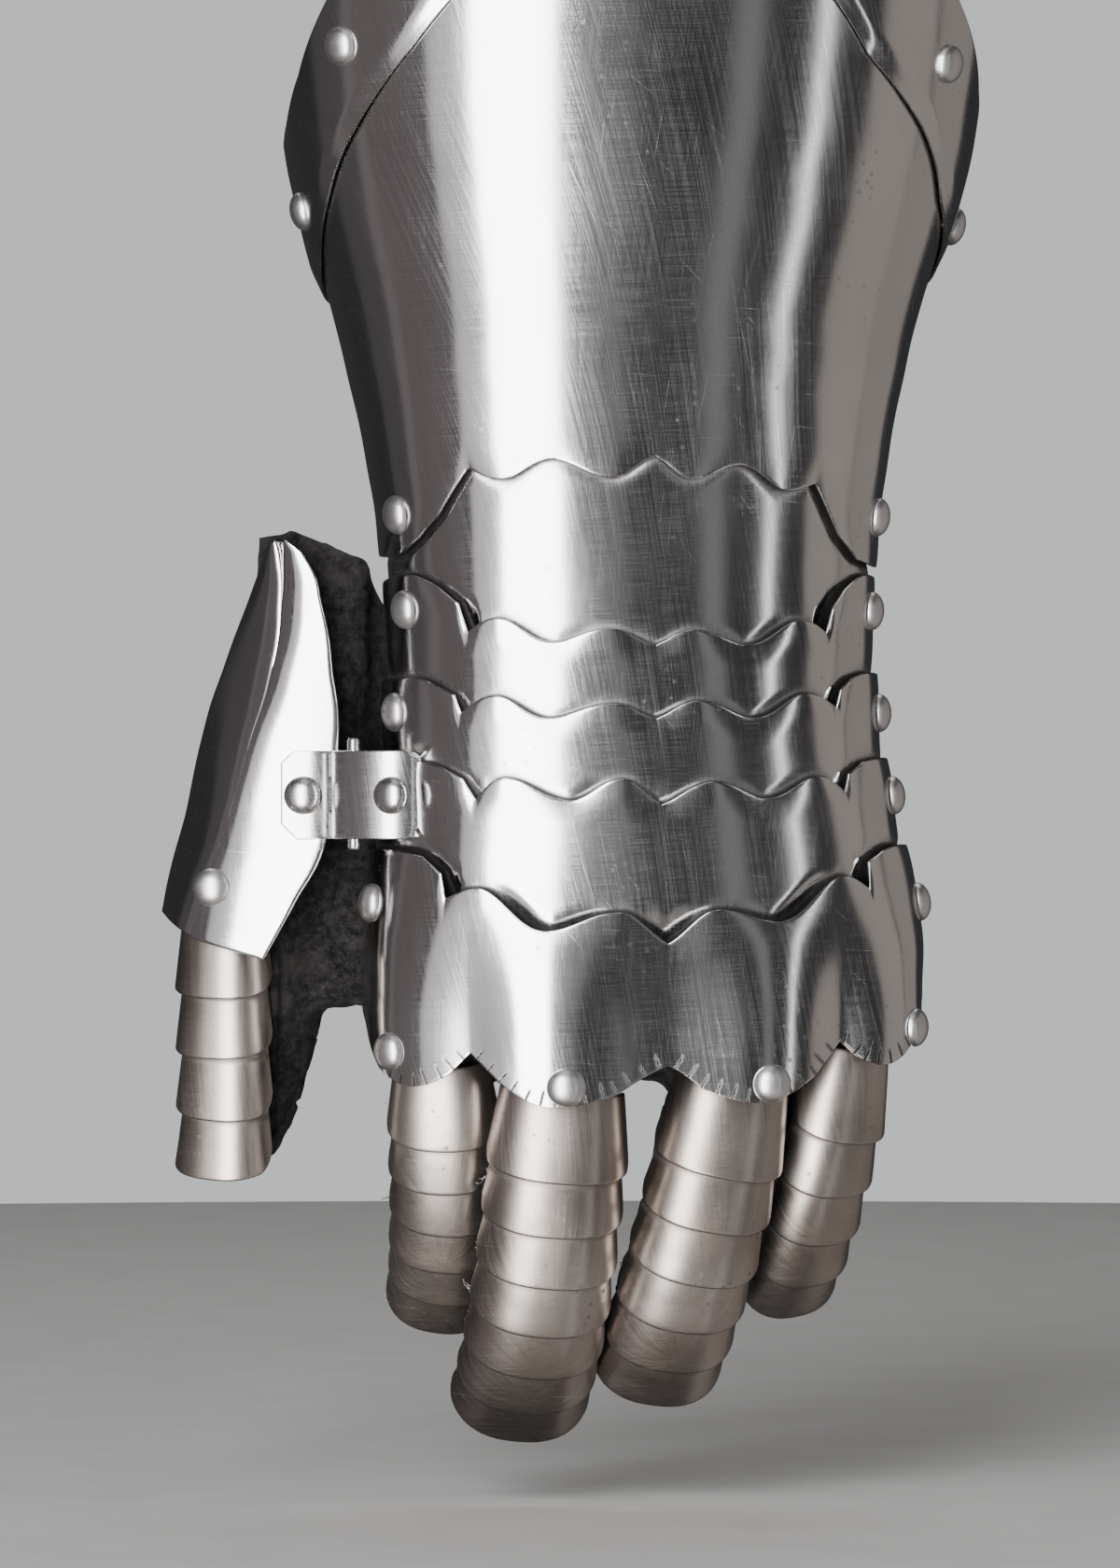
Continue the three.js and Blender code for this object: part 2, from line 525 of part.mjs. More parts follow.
// Seats of the rivets through the two leaves of the thumb hinge.
const facetWay = new THREE.Vector3(-0.24, -0.97, 0).normalize();
const ridgeWay = new THREE.Vector3(-0.5, -0.86, 0).normalize();
const handLeafReach = 3.0;
const handLeafSeat = new THREE.Vector3(-49.9, -17.2, leafRivetZ);
const thumbLeafSeat = new THREE.Vector3(leafRivetX, -6.0, leafRivetZ);
const handLeafStack = leaf.sheet + leaf.gap + steel + layer + handLeafReach;
const thumbLeafStack = leaf.sheet + leaf.gap + steel;
const holes = new Map(plates.map((plate) => [plate.name, []]));
const rivetMeshes = [];
for (const pivot of pivots) {
  for (const side of [-1, 1]) {
    const hinged = pivot.plate === 'hand_lame_3' && side < 0;
    const plain = rivetSeat(plateNamed(pivot.plate), side * pivot.angle, pivot.z);
    const seat = hinged ? { point: handLeafSeat, normal: leafWay } : plain;
    holes.get(pivot.plate).push(rivetHole(seat));
    holes.get(pivot.under).push(rivetHole(seat));
    if (!hinged) {
      const name = `${pivot.plate}_rivet_${side < 0 ? 'thumb' : 'little'}_side`;
      rivetMeshes.push({ name, seat, stack: steel + layer });
    }
  }
}
for (const row of borderRivets) {
  const seat = rivetSeat(plateNamed('cuff_border'), row.angle, row.z);
  holes.get('cuff_border').push(rivetHole(seat));
  holes.get('cuff_plate').push(rivetHole(seat));
  rivetMeshes.push({ name: row.name, seat, stack: steel + layer + borderRivetReach });
}

for (const plate of plates) {
  let solid = toSolid(plateGeometry(plate));
  for (const hole of holes.get(plate.name)) solid = solid.subtract(hole);
  if (plate.swell) {
    for (const row of lobeRivets) solid = solid.add(lobeDome(plate, row));
  }
  addMesh(plate.name, toGeometry(solid), steelMaterial);
}
for (const { name, seat, stack } of rivetMeshes) {
  const start = seat.point.clone().addScaledVector(seat.normal, rivet.seat);
  addMesh(name, alongNormal(rivetGeometry(stack), start, seat.normal), steelMaterial);
}

// ---- fingers ----
// Middle of a finger's back where it starts.
function fingerRoot(finger, top) {
  if ('x' in finger) return new THREE.Vector3(finger.x, finger.y, top);
  return bodyPoint(finger.angle, top, -finger.inset);
}

// Frame at a distance down a finger's back: the point, and its down, side and outward directions.
function fingerFrame(finger, top, distance) {
  const [start, end, power] = finger.curl;
  const length = finger.firstEdge + finger.pitch * (finger.lames - 1);
  const lean = radians(finger.lean);
  const point = fingerRoot(finger, top);
  const steps = 24;
  const down = new THREE.Vector3();
  for (let k = 0; k <= steps; k += 1) {
    const s = (Math.max(distance, 0) * k) / steps;
    const tilt = radians(start + (end - start) * Math.min(s / length, 1.1) ** power);
    down.set(Math.sin(lean) * Math.cos(tilt), Math.sin(tilt), -Math.cos(lean) * Math.cos(tilt));
    if (k < steps) point.addScaledVector(down, Math.max(distance, 0) / steps);
  }
  point.addScaledVector(down, Math.min(distance, 0));
  const side = new THREE.Vector3(Math.cos(lean), 0, Math.sin(lean));
  const out = new THREE.Vector3().crossVectors(down, side).normalize();
  const turned = radians(finger.turn);
  const turnedSide = side.clone().multiplyScalar(Math.cos(turned)).addScaledVector(out, -Math.sin(turned));
  const turnedOut = out.clone().multiplyScalar(Math.cos(turned)).addScaledVector(side, Math.sin(turned));
  const axis = point.clone().addScaledVector(out, -finger.depth);
  return { axis, side: turnedSide, out: turnedOut };
}

function fingerPoint(finger, top, distance, angle, lift, palm) {
  const frame = fingerFrame(finger, top, distance);
  const turned = radians(angle);
  const power = 2 / fingerRoundness;
  const depth = (Math.abs(angle) <= 90 ? finger.depth : palm) + lift;
  const across = (finger.halfWidth + lift) * signedPower(Math.sin(turned), power);
  const outwards = depth * signedPower(Math.cos(turned), power);
  return frame.axis.clone().addScaledVector(frame.side, across).addScaledVector(frame.out, outwards);
}

// One lame: raised over the next along its lower edge, with rounded lower corners.
function fingerLame(finger, top, k) {
  const columns = 8;
  const rows = 2;
  const lowerEdge = finger.firstEdge + finger.pitch * k;
  const upperEdge = lowerEdge - finger.pitch - lameTuck;
  const faceAt = (depth) => (i, j) => {
    const angle = lameReach * (-1 + (2 * i) / columns);
    const corner = Math.max(Math.abs(i - columns / 2) - (columns / 2 - 1), 0);
    const low = lowerEdge - lameCorner * corner;
    const distance = low + ((upperEdge - low) * j) / rows;
    const lift = fingerLayer * (1 - (lowerEdge - distance) / finger.pitch);
    return fingerPoint(finger, top, distance, angle, lift - depth, 0);
  };
  return wall(columns, rows, faceAt(0), faceAt(fingerSteel));
}

// Leather finger: a tube with an open top and a closed, rounded tip.
function fingerStall(finger, top, start) {
  const columns = 10;
  const tipInset = 3.4;
  const end = finger.firstEdge + finger.pitch * (finger.lames - 1) + 0.5;
  const parts = [0, 0.33, 0.66, 0.92, 1];
  const faceAt = (inset) => (i, j) => {
    const closing = j === parts.length - 1 ? tipInset : 0;
    const distance = start + (end - inset - start) * parts[j];
    const lift = -(fingerSteel + stallGap) - inset - closing;
    return fingerPoint(finger, top, distance, (360 * i) / columns - 180, lift, stallPalm);
  };
  return tube(columns, parts.length, faceAt(0), faceAt(leather), true);
}

for (const finger of fingers) {
  for (let k = 0; k < finger.lames; k += 1) {
    addMesh(`${finger.name}_lame_${k + 1}`, fingerLame(finger, fingerTop, k), fingerMaterial);
  }
  addMesh(`glove_${finger.name}`, fingerStall(finger, fingerTop, gloveCrease), leatherMaterial);
}

// ---- glove ----
// Closed ring wall round a list of levels, open at both ends unless a tip is asked for.
function tube(columns, levels, outerAt, innerAt, closed) {
  const points = [];
  const index = [];
  const inner = columns * levels;
  for (const faceAt of [outerAt, innerAt]) {
    for (let j = 0; j < levels; j += 1) {
      for (let i = 0; i < columns; i += 1) points.push(faceAt(i, j));
    }
  }
  const quad = (a, b, c, d) => index.push(a, b, c, a, c, d);
  const last = (levels - 1) * columns;
  for (let i = 0; i < columns; i += 1) {
    const n = (i + 1) % columns;
    for (let j = 0; j < levels - 1; j += 1) {
      const row = j * columns;
      quad(row + i, row + n, row + columns + n, row + columns + i);
      quad(inner + row + i, inner + row + columns + i, inner + row + columns + n, inner + row + n);
    }
    quad(i, inner + i, inner + n, n);
    if (!closed) quad(last + i, last + n, inner + last + n, inner + last + i);
  }
  if (closed) {
    for (let i = 1; i < columns - 1; i += 1) {
      index.push(last, last + i, last + i + 1);
      index.push(inner + last, inner + last + i + 1, inner + last + i);
    }
  }
  return solidGeometry(points, index);
}

// Hand part: close under the knuckles and sunk away from the lames towards the wrist.
function gloveHand() {
  const columns = 18;
  const levels = [
    { z: -88.6, sunk: 0.3 },
    { z: -74, sunk: 0.8 },
    { z: -56, sunk: 3.2 },
    { z: -38, sunk: 5.8 },
    { z: -20, sunk: 8.4 },
    { z: -6, sunk: 10.2 },
  ];
  const faceAt = (inset) => (i, j) => {
    const angle = (360 * i) / columns - 180;
    const point = bodyPoint(angle, levels[j].z, -gloveSlack - inset);
    const depth = tableAt(body, 'back', levels[j].z) - gloveSlack;
    if (point.y < 0) point.y *= (depth - levels[j].sunk) / depth;
    return point;
  };
  return tube(columns, levels.length, faceAt(0), faceAt(leather), false);
}

function gloveThumb() {
  const columns = 10;
  const last = thumbStall.length - 1;
  const faceAt = (inset) => (i, j) => {
    const row = thumbStall[j];
    const turned = radians((360 * i) / columns);
    const slant = radians(row.slant);
    const across = (row.reach - inset) * Math.cos(turned);
    const outwards = (row.depth - inset) * Math.sin(turned);
    const x = row.x + across * Math.cos(slant) - outwards * Math.sin(slant);
    const y = row.y + across * Math.sin(slant) + outwards * Math.cos(slant);
    return new THREE.Vector3(x, y, j === last ? row.z + inset : row.z);
  };
  return tube(columns, thumbStall.length, faceAt(0), faceAt(leather), true);
}

addMesh('glove_hand', gloveHand(), leatherMaterial);
addMesh('glove_thumb', gloveThumb(), leatherMaterial);

// ---- thumb plate and lames ----
// Point of the ridged plate: across is -1 on the hand-side edge, 0 at the ridge and 1 on the outer edge.
function thumbPlatePoint(across, z, depth) {
  const at = (key) => tableAt(thumbPlateRows, key, z);
  const near = new THREE.Vector2(at('nearX'), at('nearY'));
  const ridge = new THREE.Vector2(at('ridgeX'), at('ridgeY'));
  const far = new THREE.Vector2(at('farX'), at('farY'));
  const nearWay = ridge.clone().sub(near).normalize();
  const farWay = far.clone().sub(ridge).normalize();
  const inwards = (way) => new THREE.Vector2(way.y, -way.x);
  const mitre = inwards(nearWay).add(inwards(farWay)).normalize();
  mitre.divideScalar(mitre.dot(inwards(nearWay)));
  const spot = across < 0 ? ridge.clone().lerp(near, -across) : ridge.clone().lerp(far, across);
  const side = across < 0 ? inwards(nearWay) : inwards(farWay);
  const inward = mitre.lerp(side, Math.min(Math.abs(across) * 4, 1));
  const top = thumbPlateRows[0].z;
  const down = (z - top) / (thumbPlateRows[thumbPlateRows.length - 1].z - top);
  const rise = (thumbPlateLowerRise * down * down * (across + 1)) / 2;
  return new THREE.Vector3(spot.x + inward.x * depth, spot.y + inward.y * depth, z + rise);
}

function thumbPlateGeometry() {
  const stops = [-1, -0.66, -0.33, 0, 0.33, 0.66, 1];
  const levels = thumbPlateRows.map((row) => row.z).reverse();
  const faceAt = (depth) => (i, j) => thumbPlatePoint(-stops[i], levels[j], depth);
  return wall(stops.length - 1, levels.length - 1, faceAt(0), faceAt(steel));
}

// ---- thumb hinge ----
// The hand leaf leaves the lame along a straight stretch and turns round the pin.
function handLeafPoint(column, z, depth) {
  const lift = layer + leaf.gap + leaf.sheet - depth;
  if (column < handLeafAngles.length) return bodyPoint(handLeafAngles[column], z, lift);
  const centre = new THREE.Vector3(pin.x, pin.y, z);
  return centre.addScaledVector(leafWay, leaf.roll - (depth * leaf.fold) / leaf.sheet);
}

// Height of row j of 2 on a leaf whose end column has cut corners.
function leafLevel(isEnd, j) {
  const cut = isEnd ? leaf.chamfer : 0;
  return [leaf.bottom + cut, leafRivetZ, leaf.top - cut / 2][j];
}

// Solid prism of a flat outline between two heights.
function prism(outline, low, high) {
  const shape = new THREE.Shape(outline.map(([x, y]) => new THREE.Vector2(x, y)));
  const geometry = new THREE.ExtrudeGeometry(shape, { depth: high - low, bevelEnabled: false });
  return toSolid(geometry.translate(0, 0, low));
}

function disc(radius, low, high, sides) {
  const geometry = new THREE.CylinderGeometry(radius, radius, high - low, sides).rotateX(Math.PI / 2);
  return toSolid(geometry.translate(pin.x, pin.y, (low + high) / 2));
}

// Outline of the stretch of the roll that covers the eye of the other leaf.
function rollCover() {
  const from = 232;
  const to = 188;
  const steps = 4;
  const outline = [];
  for (const radius of [leaf.roll, leaf.eye + 0.3]) {
    const arc = [];
    for (let k = 0; k <= steps; k += 1) {
      const turned = radians(from + ((to - from) * k) / steps);
      arc.push([pin.x + radius * Math.cos(turned), pin.y + radius * Math.sin(turned)]);
    }
    outline.push(...(radius === leaf.roll ? arc : arc.reverse()));
  }
  return outline.reverse();
}

const eyeTop = leaf.top - leaf.knuckle;
const eyeBottom = leaf.bottom + leaf.knuckle;

function handLeaf() {
  const columns = handLeafAngles.length;
  const faceAt = (depth) => (i, j) => handLeafPoint(i, leafLevel(i === 0, j), depth);
  let solid = toSolid(wall(columns, 2, faceAt(0), faceAt(leaf.sheet)));
  solid = solid.add(disc(leaf.roll, eyeTop, leaf.top, 14));
  solid = solid.add(disc(leaf.roll, leaf.bottom, eyeBottom, 14));
  solid = solid.add(disc(pin.radius, pin.bottom, pin.top, 10));
  solid = solid.add(prism(rollCover(), eyeBottom - 0.1, eyeTop + 0.1));
  return solid.add(toSolid(alongNormal(rivetGeometry(handLeafStack), handLeafSeat, leafWay)));
}

// Facet position of a point of the thumb leaf.
function leafAcross(x, z) {
  const ridge = tableAt(thumbPlateRows, 'ridgeX', z);
  return -(x - ridge) / (tableAt(thumbPlateRows, 'nearX', z) - ridge);
}

function thumbLeafPoint(column, j, depth) {
  const z = leafLevel(column === 0, j);
  const point = thumbPlatePoint(leafAcross(thumbLeafSpan[column], z), z, 0);
  return new THREE.Vector3(thumbLeafSpan[column], point.y - leaf.gap - leaf.sheet + depth, z);
}

function thumbLeaf() {
  const columns = thumbLeafSpan.length - 1;
  const faceAt = (depth) => (i, j) => thumbLeafPoint(i, j, depth);
  const eye = disc(leaf.eye, eyeBottom + leaf.gap, eyeTop - leaf.gap, 12);
  const bore = disc(pin.radius + 0.25, leaf.bottom, leaf.top, 10);
  const end = thumbLeafPoint(columns, 1, 0);
  const tongue = [
    [pin.x, pin.y + 0.9],
    [pin.x, pin.y + leaf.eye],
    [end.x - 0.4, end.y + leaf.sheet],
    [end.x - 0.4, end.y],
  ];
  let solid = toSolid(wall(columns, 2, faceAt(0), faceAt(leaf.sheet)));
  solid = solid.add(prism(tongue, eyeBottom + leaf.gap, eyeTop - leaf.gap)).add(eye).subtract(bore);
  return solid.add(toSolid(alongNormal(rivetGeometry(thumbLeafStack), thumbLeafSeat, facetWay)));
}

let thumbPlate = toSolid(thumbPlateGeometry());
thumbPlate = thumbPlate.subtract(rivetHole({ point: thumbLeafSeat, normal: facetWay }));
const thumbRivetPoint = thumbPlatePoint(thumbRivet.across, thumbRivet.z, 0);
thumbPlate = thumbPlate.subtract(rivetHole({ point: thumbRivetPoint, normal: ridgeWay }));
addMesh('thumb_plate', toGeometry(thumbPlate), steelMaterial);
const thumbRivetStart = thumbRivetPoint.clone().addScaledVector(ridgeWay, rivet.seat + thumbRivet.seat);
const thumbRivetSolid = alongNormal(rivetGeometry(thumbRivet.stack), thumbRivetStart, ridgeWay);
addMesh('thumb_rivet', thumbRivetSolid, steelMaterial);
addMesh('hinge_leaf_hand', toGeometry(handLeaf()), steelMaterial);
addMesh('hinge_leaf_thumb', toGeometry(thumbLeaf()), steelMaterial);
for (let k = 0; k < thumb.lames; k += 1) {
  addMesh(`thumb_lame_${k + 1}`, fingerLame(thumb, thumbTop, k), fingerMaterial);
}

export default gauntlet;
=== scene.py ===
import math
import bmesh
import bpy
import numpy as np
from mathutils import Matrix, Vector, noise


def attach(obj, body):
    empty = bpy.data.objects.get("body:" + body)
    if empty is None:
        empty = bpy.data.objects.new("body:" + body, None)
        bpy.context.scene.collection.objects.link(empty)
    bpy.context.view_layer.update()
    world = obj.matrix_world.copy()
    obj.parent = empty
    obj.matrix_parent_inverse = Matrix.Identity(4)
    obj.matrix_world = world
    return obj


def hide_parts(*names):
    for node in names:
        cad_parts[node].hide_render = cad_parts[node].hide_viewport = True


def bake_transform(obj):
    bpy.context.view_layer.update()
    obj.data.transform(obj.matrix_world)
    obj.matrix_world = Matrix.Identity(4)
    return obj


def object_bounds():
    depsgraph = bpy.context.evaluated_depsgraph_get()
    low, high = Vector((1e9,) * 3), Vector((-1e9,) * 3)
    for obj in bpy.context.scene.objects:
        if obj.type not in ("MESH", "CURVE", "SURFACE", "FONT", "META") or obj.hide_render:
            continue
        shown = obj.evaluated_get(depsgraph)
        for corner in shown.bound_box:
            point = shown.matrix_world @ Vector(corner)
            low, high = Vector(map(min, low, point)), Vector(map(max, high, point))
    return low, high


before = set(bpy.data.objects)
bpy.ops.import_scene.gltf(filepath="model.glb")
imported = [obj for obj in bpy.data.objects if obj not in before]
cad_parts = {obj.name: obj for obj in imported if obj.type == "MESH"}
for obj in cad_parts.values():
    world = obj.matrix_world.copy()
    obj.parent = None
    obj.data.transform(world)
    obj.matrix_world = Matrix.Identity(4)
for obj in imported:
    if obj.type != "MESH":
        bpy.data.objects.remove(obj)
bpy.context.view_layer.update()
mm = 0.001
print("frame loaded")

# shared sizes, in millimetres
sizes = {
    "steel": 1.2, "fingerSteel": 1.0, "layer": 1.7, "fingerLayer": 1.4, "coverMargin": 0.9, "tuck": 4.0,
    "droop": 0.2, "droopStart": 1.6, "cuffAngle": 157.0, "flapAngle": 106.0, "thumbFlapAngle": 95.0,
    "edgeRadius": 0.24, "edgeSteel": 0.75, "pressedBand": 5.0, "edgeBand": 3.5, "square": 0.8,
}

# height, half-width, depth of the back, depth of the palm side, centre
bodyRows = [
    (176, 69.0, 62.0, 52.0, 0.5), (140, 68.0, 60.0, 51.0, 0.5), (109, 66.3, 57.5, 49.5, 0.5),
    (87, 64.2, 54.5, 47.0, 0.3), (67, 60.4, 49.8, 44.0, 0.0), (49, 55.4, 44.6, 40.0, -0.3),
    (36, 52.3, 40.6, 37.0, -0.2), (18, 48.8, 36.6, 32.0, 0.0), (0, 46.8, 34.6, 29.0, 0.2),
    (-18, 46.8, 34.4, 28.0, 0.5), (-31, 47.6, 34.4, 27.0, 0.6), (-47, 49.6, 34.4, 26.0, 1.5),
    (-67, 52.6, 34.0, 26.0, 2.6), (-82, 53.0, 33.2, 26.0, 3.0), (-110, 51.5, 31.0, 26.0, 3.2),
]

# scalloped edges: angle on the left and right, height there, and how the edge turns
cusp, crest, line = "cusp", "crest", "line"
scallops = {
    "cuffLower": [
        (0, 0, 18.7, 18.7, cusp), (6, 5, 14.5, 14.3, crest), (18, 14, 18.0, 17.1, crest),
        (31, 27, 14.2, 12.4, crest), (40, 35, 16.4, 13.8, cusp), (52, 46, 7.6, 4.0, line),
        (61, 56, 3.4, -0.4, line), (78, 74, 0.0, -1.6, crest), (100, 100, 1.0, 0.6, line),
        (125, 125, 6.0, 6.0, crest), (160, 160, 6.0, 6.0, crest),
    ],
    "lameOneUpper": [
        (0, 0, -17.2, -17.2, cusp), (7, 5, -14.0, -14.2, crest), (19, 17, -16.6, -17.0, crest),
        (34, 32, -12.0, -12.2, crest), (43, 41, -14.6, -14.5, cusp), (46, 43.5, -9.2, -9.6, line),
        (54, 49, -5.8, -6.2, line), (70, 65, -3.3, -3.1, crest), (106, 106, -4.6, -4.6, crest),
    ],
    "lameTwoUpper": [
        (0, 0, -31.2, -31.2, cusp), (6, 6, -28.3, -27.7, crest), (20, 18, -31.1, -31.0, crest),
        (34, 33, -26.8, -26.2, crest), (44.5, 44, -30.0, -28.9, cusp), (47, 46, -26.6, -25.5, line),
        (53, 52, -25.0, -23.2, line), (66, 66, -23.1, -22.0, crest), (106, 106, -23.4, -22.6, crest),
    ],
    "lameThreeUpper": [
        (0, 0, -47.0, -47.6, cusp), (5, 8, -42.6, -43.1, crest), (15, 19, -46.7, -46.3, crest),
        (31, 34, -42.4, -42.0, crest), (39, 42.5, -46.5, -45.0, cusp), (43, 45, -42.6, -41.6, line),
        (50, 53, -40.4, -39.3, line), (66, 70, -39.0, -38.4, crest), (106, 106, -39.0, -39.0, crest),
    ],
    "knuckleUpper": [
        (0, 0, -74.0, -74.0, cusp), (6, 7, -68.0, -67.5, crest), (20, 18, -71.6, -69.8, crest),
        (37, 37, -63.5, -61.2, crest), (46, 45, -65.3, -63.6, cusp), (48, 46.5, -60.6, -58.4, line),
        (55, 54, -57.4, -56.4, line), (72, 68, -56.0, -55.2, crest), (106, 106, -56.6, -55.6, crest),
    ],
    "knuckleLower": [
        (0, 0, -97.5, -97.5, cusp), (7, 4, -103.0, -101.8, line), (18, 13, -105.3, -104.6, crest),
        (31, 26, -100.6, -99.8, line), (39, 34, -95.0, -92.8, cusp), (45, 39, -99.0, -96.0, line),
        (56, 47, -101.5, -97.7, crest), (72, 60, -98.0, -93.0, line), (90, 78, -89.0, -86.0, line),
        (106, 106, -84.0, -83.0, crest),
    ],
    "rim": [
        (0, 0, 173, 173, cusp), (22, 22, 144, 144, line), (40, 38, 123, 122, line), (60, 50, 107, 108, line),
        (76, 70, 92, 90, line), (92, 90, 82, 80, line), (115, 115, 78, 78, crest), (160, 160, 78, 78, crest),
    ],
    "borderLower": [
        (0, 0, 140, 140, cusp), (27, 18, 109, 109, line), (41, 29, 94.5, 94, line), (57, 46, 80.5, 81, line),
        (73, 61, 67.5, 68, line), (92, 86, 54, 55, line), (115, 112, 50, 50, crest),
        (160, 160, 50, 50, crest),
    ],
}


# tables and edges
def columnAt(rows, column, z):
    heights = np.array([row[0] for row in rows], float)
    values = np.array([row[column] for row in rows], float)
    last = len(rows) - 1
    above = np.maximum(np.arange(last + 1) - 1, 0)
    below = np.minimum(np.arange(last + 1) + 1, last)
    slope = (values[above] - values[below]) / (heights[above] - heights[below])
    z = np.clip(np.asarray(z, float), heights[last], heights[0])
    i = np.clip(np.searchsorted(-heights, -z, side="right") - 1, 0, last - 1)
    span = heights[i] - heights[i + 1]
    t = (z - heights[i + 1]) / span
    h = t * t * (3 - 2 * t)
    low = values[i + 1] + slope[i + 1] * span * t
    high = values[i] - slope[i] * span * (1 - t)
    return low * (1 - h) + high * h


def edgeHeights(rows):
    # heights of an edge on a fine grid of angles, read by edgeAt
    def heightAt(angle):
        side = 0 if angle < 0 else 1
        turned = abs(angle)
        i = 0
        while i < len(rows) - 2 and turned > rows[i + 1][side]:
            i += 1
        near, far = rows[i], rows[i + 1]
        t = min((turned - near[side]) / (far[side] - near[side]), 1)
        flatNear, flatFar = near[4] == crest, far[4] == crest
        blend = t
        if flatNear and flatFar:
            blend = (1 - math.cos(math.pi * t)) / 2
        elif flatNear:
            blend = 1 - math.cos(math.pi * t / 2)
        elif flatFar:
            blend = math.sin(math.pi * t / 2)
        return near[2 + side] + (far[2 + side] - near[2 + side]) * blend

    return np.array([heightAt(a) for a in edgeGrid])


def smoothstep(x, low, high):
    t = np.clip((x - low) / (high - low), 0, 1)
    return t * t * (3 - 2 * t)


def hiddenEdge(back, side):
    return back + (side - back) * smoothstep(np.abs(edgeGrid), 40, 62)


edgeGrid = np.arange(-170, 170.01, 0.05)
edges = {name: edgeHeights(rows) for name, rows in scallops.items()}
# hidden edges and lines of the laps: height over the back and at the flaps
hiddenHeights = {
    "wristTop": (25.5, 13.0), "wristBottom": (-23.0, -14.6), "lameOneBottom": (-37.0, -34.0),
    "lameTwoBottom": (-53.0, -50.2), "lameThreeBottom": (-79.5, -71.0), "lineOne": (-14.6, -3.6),
    "lineTwo": (-28.6, -22.4), "lineThree": (-44.2, -38.6), "lineKnuckle": (-67.5, -55.8),
}
edges.update({name: hiddenEdge(back, side) for name, (back, side) in hiddenHeights.items()})


def edgeAt(name, angle):
    return np.interp(angle, edgeGrid, edges[name])


# how each plate lies: its edges, what is over and under it, and the body that it moves with
# pressed: the edge that is hammered down on the next plate, the side it lies on, and how far
plates = {
    "cuff_plate": {"upper": "rim", "lower": "cuffLower", "lift": 1.7, "pressed": ("cuffLower", -1, 0.2),
                   "body": "cuff"},
    "cuff_border": {"upper": "rim", "lower": "borderLower", "lift": 3.4, "body": "cuff"},
    "wrist_lame": {"upper": "wristTop", "lower": "wristBottom", "coveredAbove": "cuffLower",
                   "seam": "lameOneUpper", "droopAbove": 0.35, "leadAbove": 1.6, "droopBelow": 0.26,
                   "body": "wrist"},
    "hand_lame_1": {"upper": "lameOneUpper", "lower": "lameOneBottom", "topLine": "lineOne",
                    "bottomLine": "lineTwo", "seam": "lameTwoUpper", "pressed": ("lameOneUpper", 1, 0.45),
                    "body": "hand_1"},
    "hand_lame_2": {"upper": "lameTwoUpper", "lower": "lameTwoBottom", "topLine": "lineTwo",
                    "bottomLine": "lineThree", "seam": "lameThreeUpper", "pressed": ("lameTwoUpper", 1, 0.45),
                    "body": "hand_2"},
    "hand_lame_3": {"upper": "lameThreeUpper", "lower": "lameThreeBottom", "topLine": "lineThree",
                    "bottomLine": "lineKnuckle", "seam": "knuckleUpper", "droopBelow": 0.34, "leadBelow": 1.0,
                    "pressed": ("lameThreeUpper", 1, 0.45), "body": "hand_3"},
    "knuckle_plate": {"upper": "knuckleUpper", "lower": "knuckleLower", "lift": 1.7, "swell": 1.9,
                      "pressed": ("knuckleUpper", 1, 0.25), "body": "knuckles"},
}
# hollows between the lobes of the knuckle plate, and the heights between which the lobes rise
knuckleLobes = {"creases": (-90, -39, 0, 34, 78), "from": 58, "to": 92, "power": 1.6}


def signedPower(value, power):
    return np.sign(value) * np.abs(value) ** power


def swellAt(plate, angle, z):
    grow = smoothstep(-z, knuckleLobes["from"], knuckleLobes["to"])
    swell = np.zeros(np.broadcast(angle, z).shape)
    for left, right in zip(knuckleLobes["creases"][:-1], knuckleLobes["creases"][1:]):
        t = np.clip((angle - left) / (right - left), 0, 1)
        swell = swell + np.sin(math.pi * t) ** knuckleLobes["power"]
    return plate["swell"] * grow * swell


def bodyPoint(angle, z, lift, swell=0.0):
    angle, z = np.broadcast_arrays(np.asarray(angle, float), np.asarray(z, float))
    turned = np.radians(angle)
    halfWidth = columnAt(bodyRows, 1, z) + lift + swell
    back, palm = columnAt(bodyRows, 2, z), columnAt(bodyRows, 3, z)
    depth = np.where(np.abs(angle) <= 90, back, palm) + lift + swell
    x = columnAt(bodyRows, 4, z) + halfWidth * signedPower(np.sin(turned), sizes["square"])
    y = -depth * signedPower(np.cos(turned), sizes["square"])
    return np.stack([x, y, z], axis=-1)


def coveredHeight(plate, angle):
    tuck = sizes["tuck"]
    heights = [edgeAt(plate["seam"], angle + aside) for aside in (-tuck, 0, tuck)]
    return np.maximum.reduce(heights) + sizes["coverMargin"] + plate.get("leadBelow", 0)


def drooping(distance, rate):
    # how far a hidden tongue sinks at a distance past the edge that hides it
    past = np.maximum(distance, 0)
    return -rate * past * past / (past + sizes["droopStart"])


# angles beside a place at which its distance to the edge is taken, and how the flaps' steep edges count less
edgeReach = {
    "turns": (0, 0.1, 0.2, 0.3, 0.45, 0.6, 0.8, 1, 1.3, 1.6, 2, 2.5, 3, 3.6, 4.3, 5, 6),
    "farthest": 9.0, "flapFrom": 34, "flapTo": 41, "flapGain": 3,
}


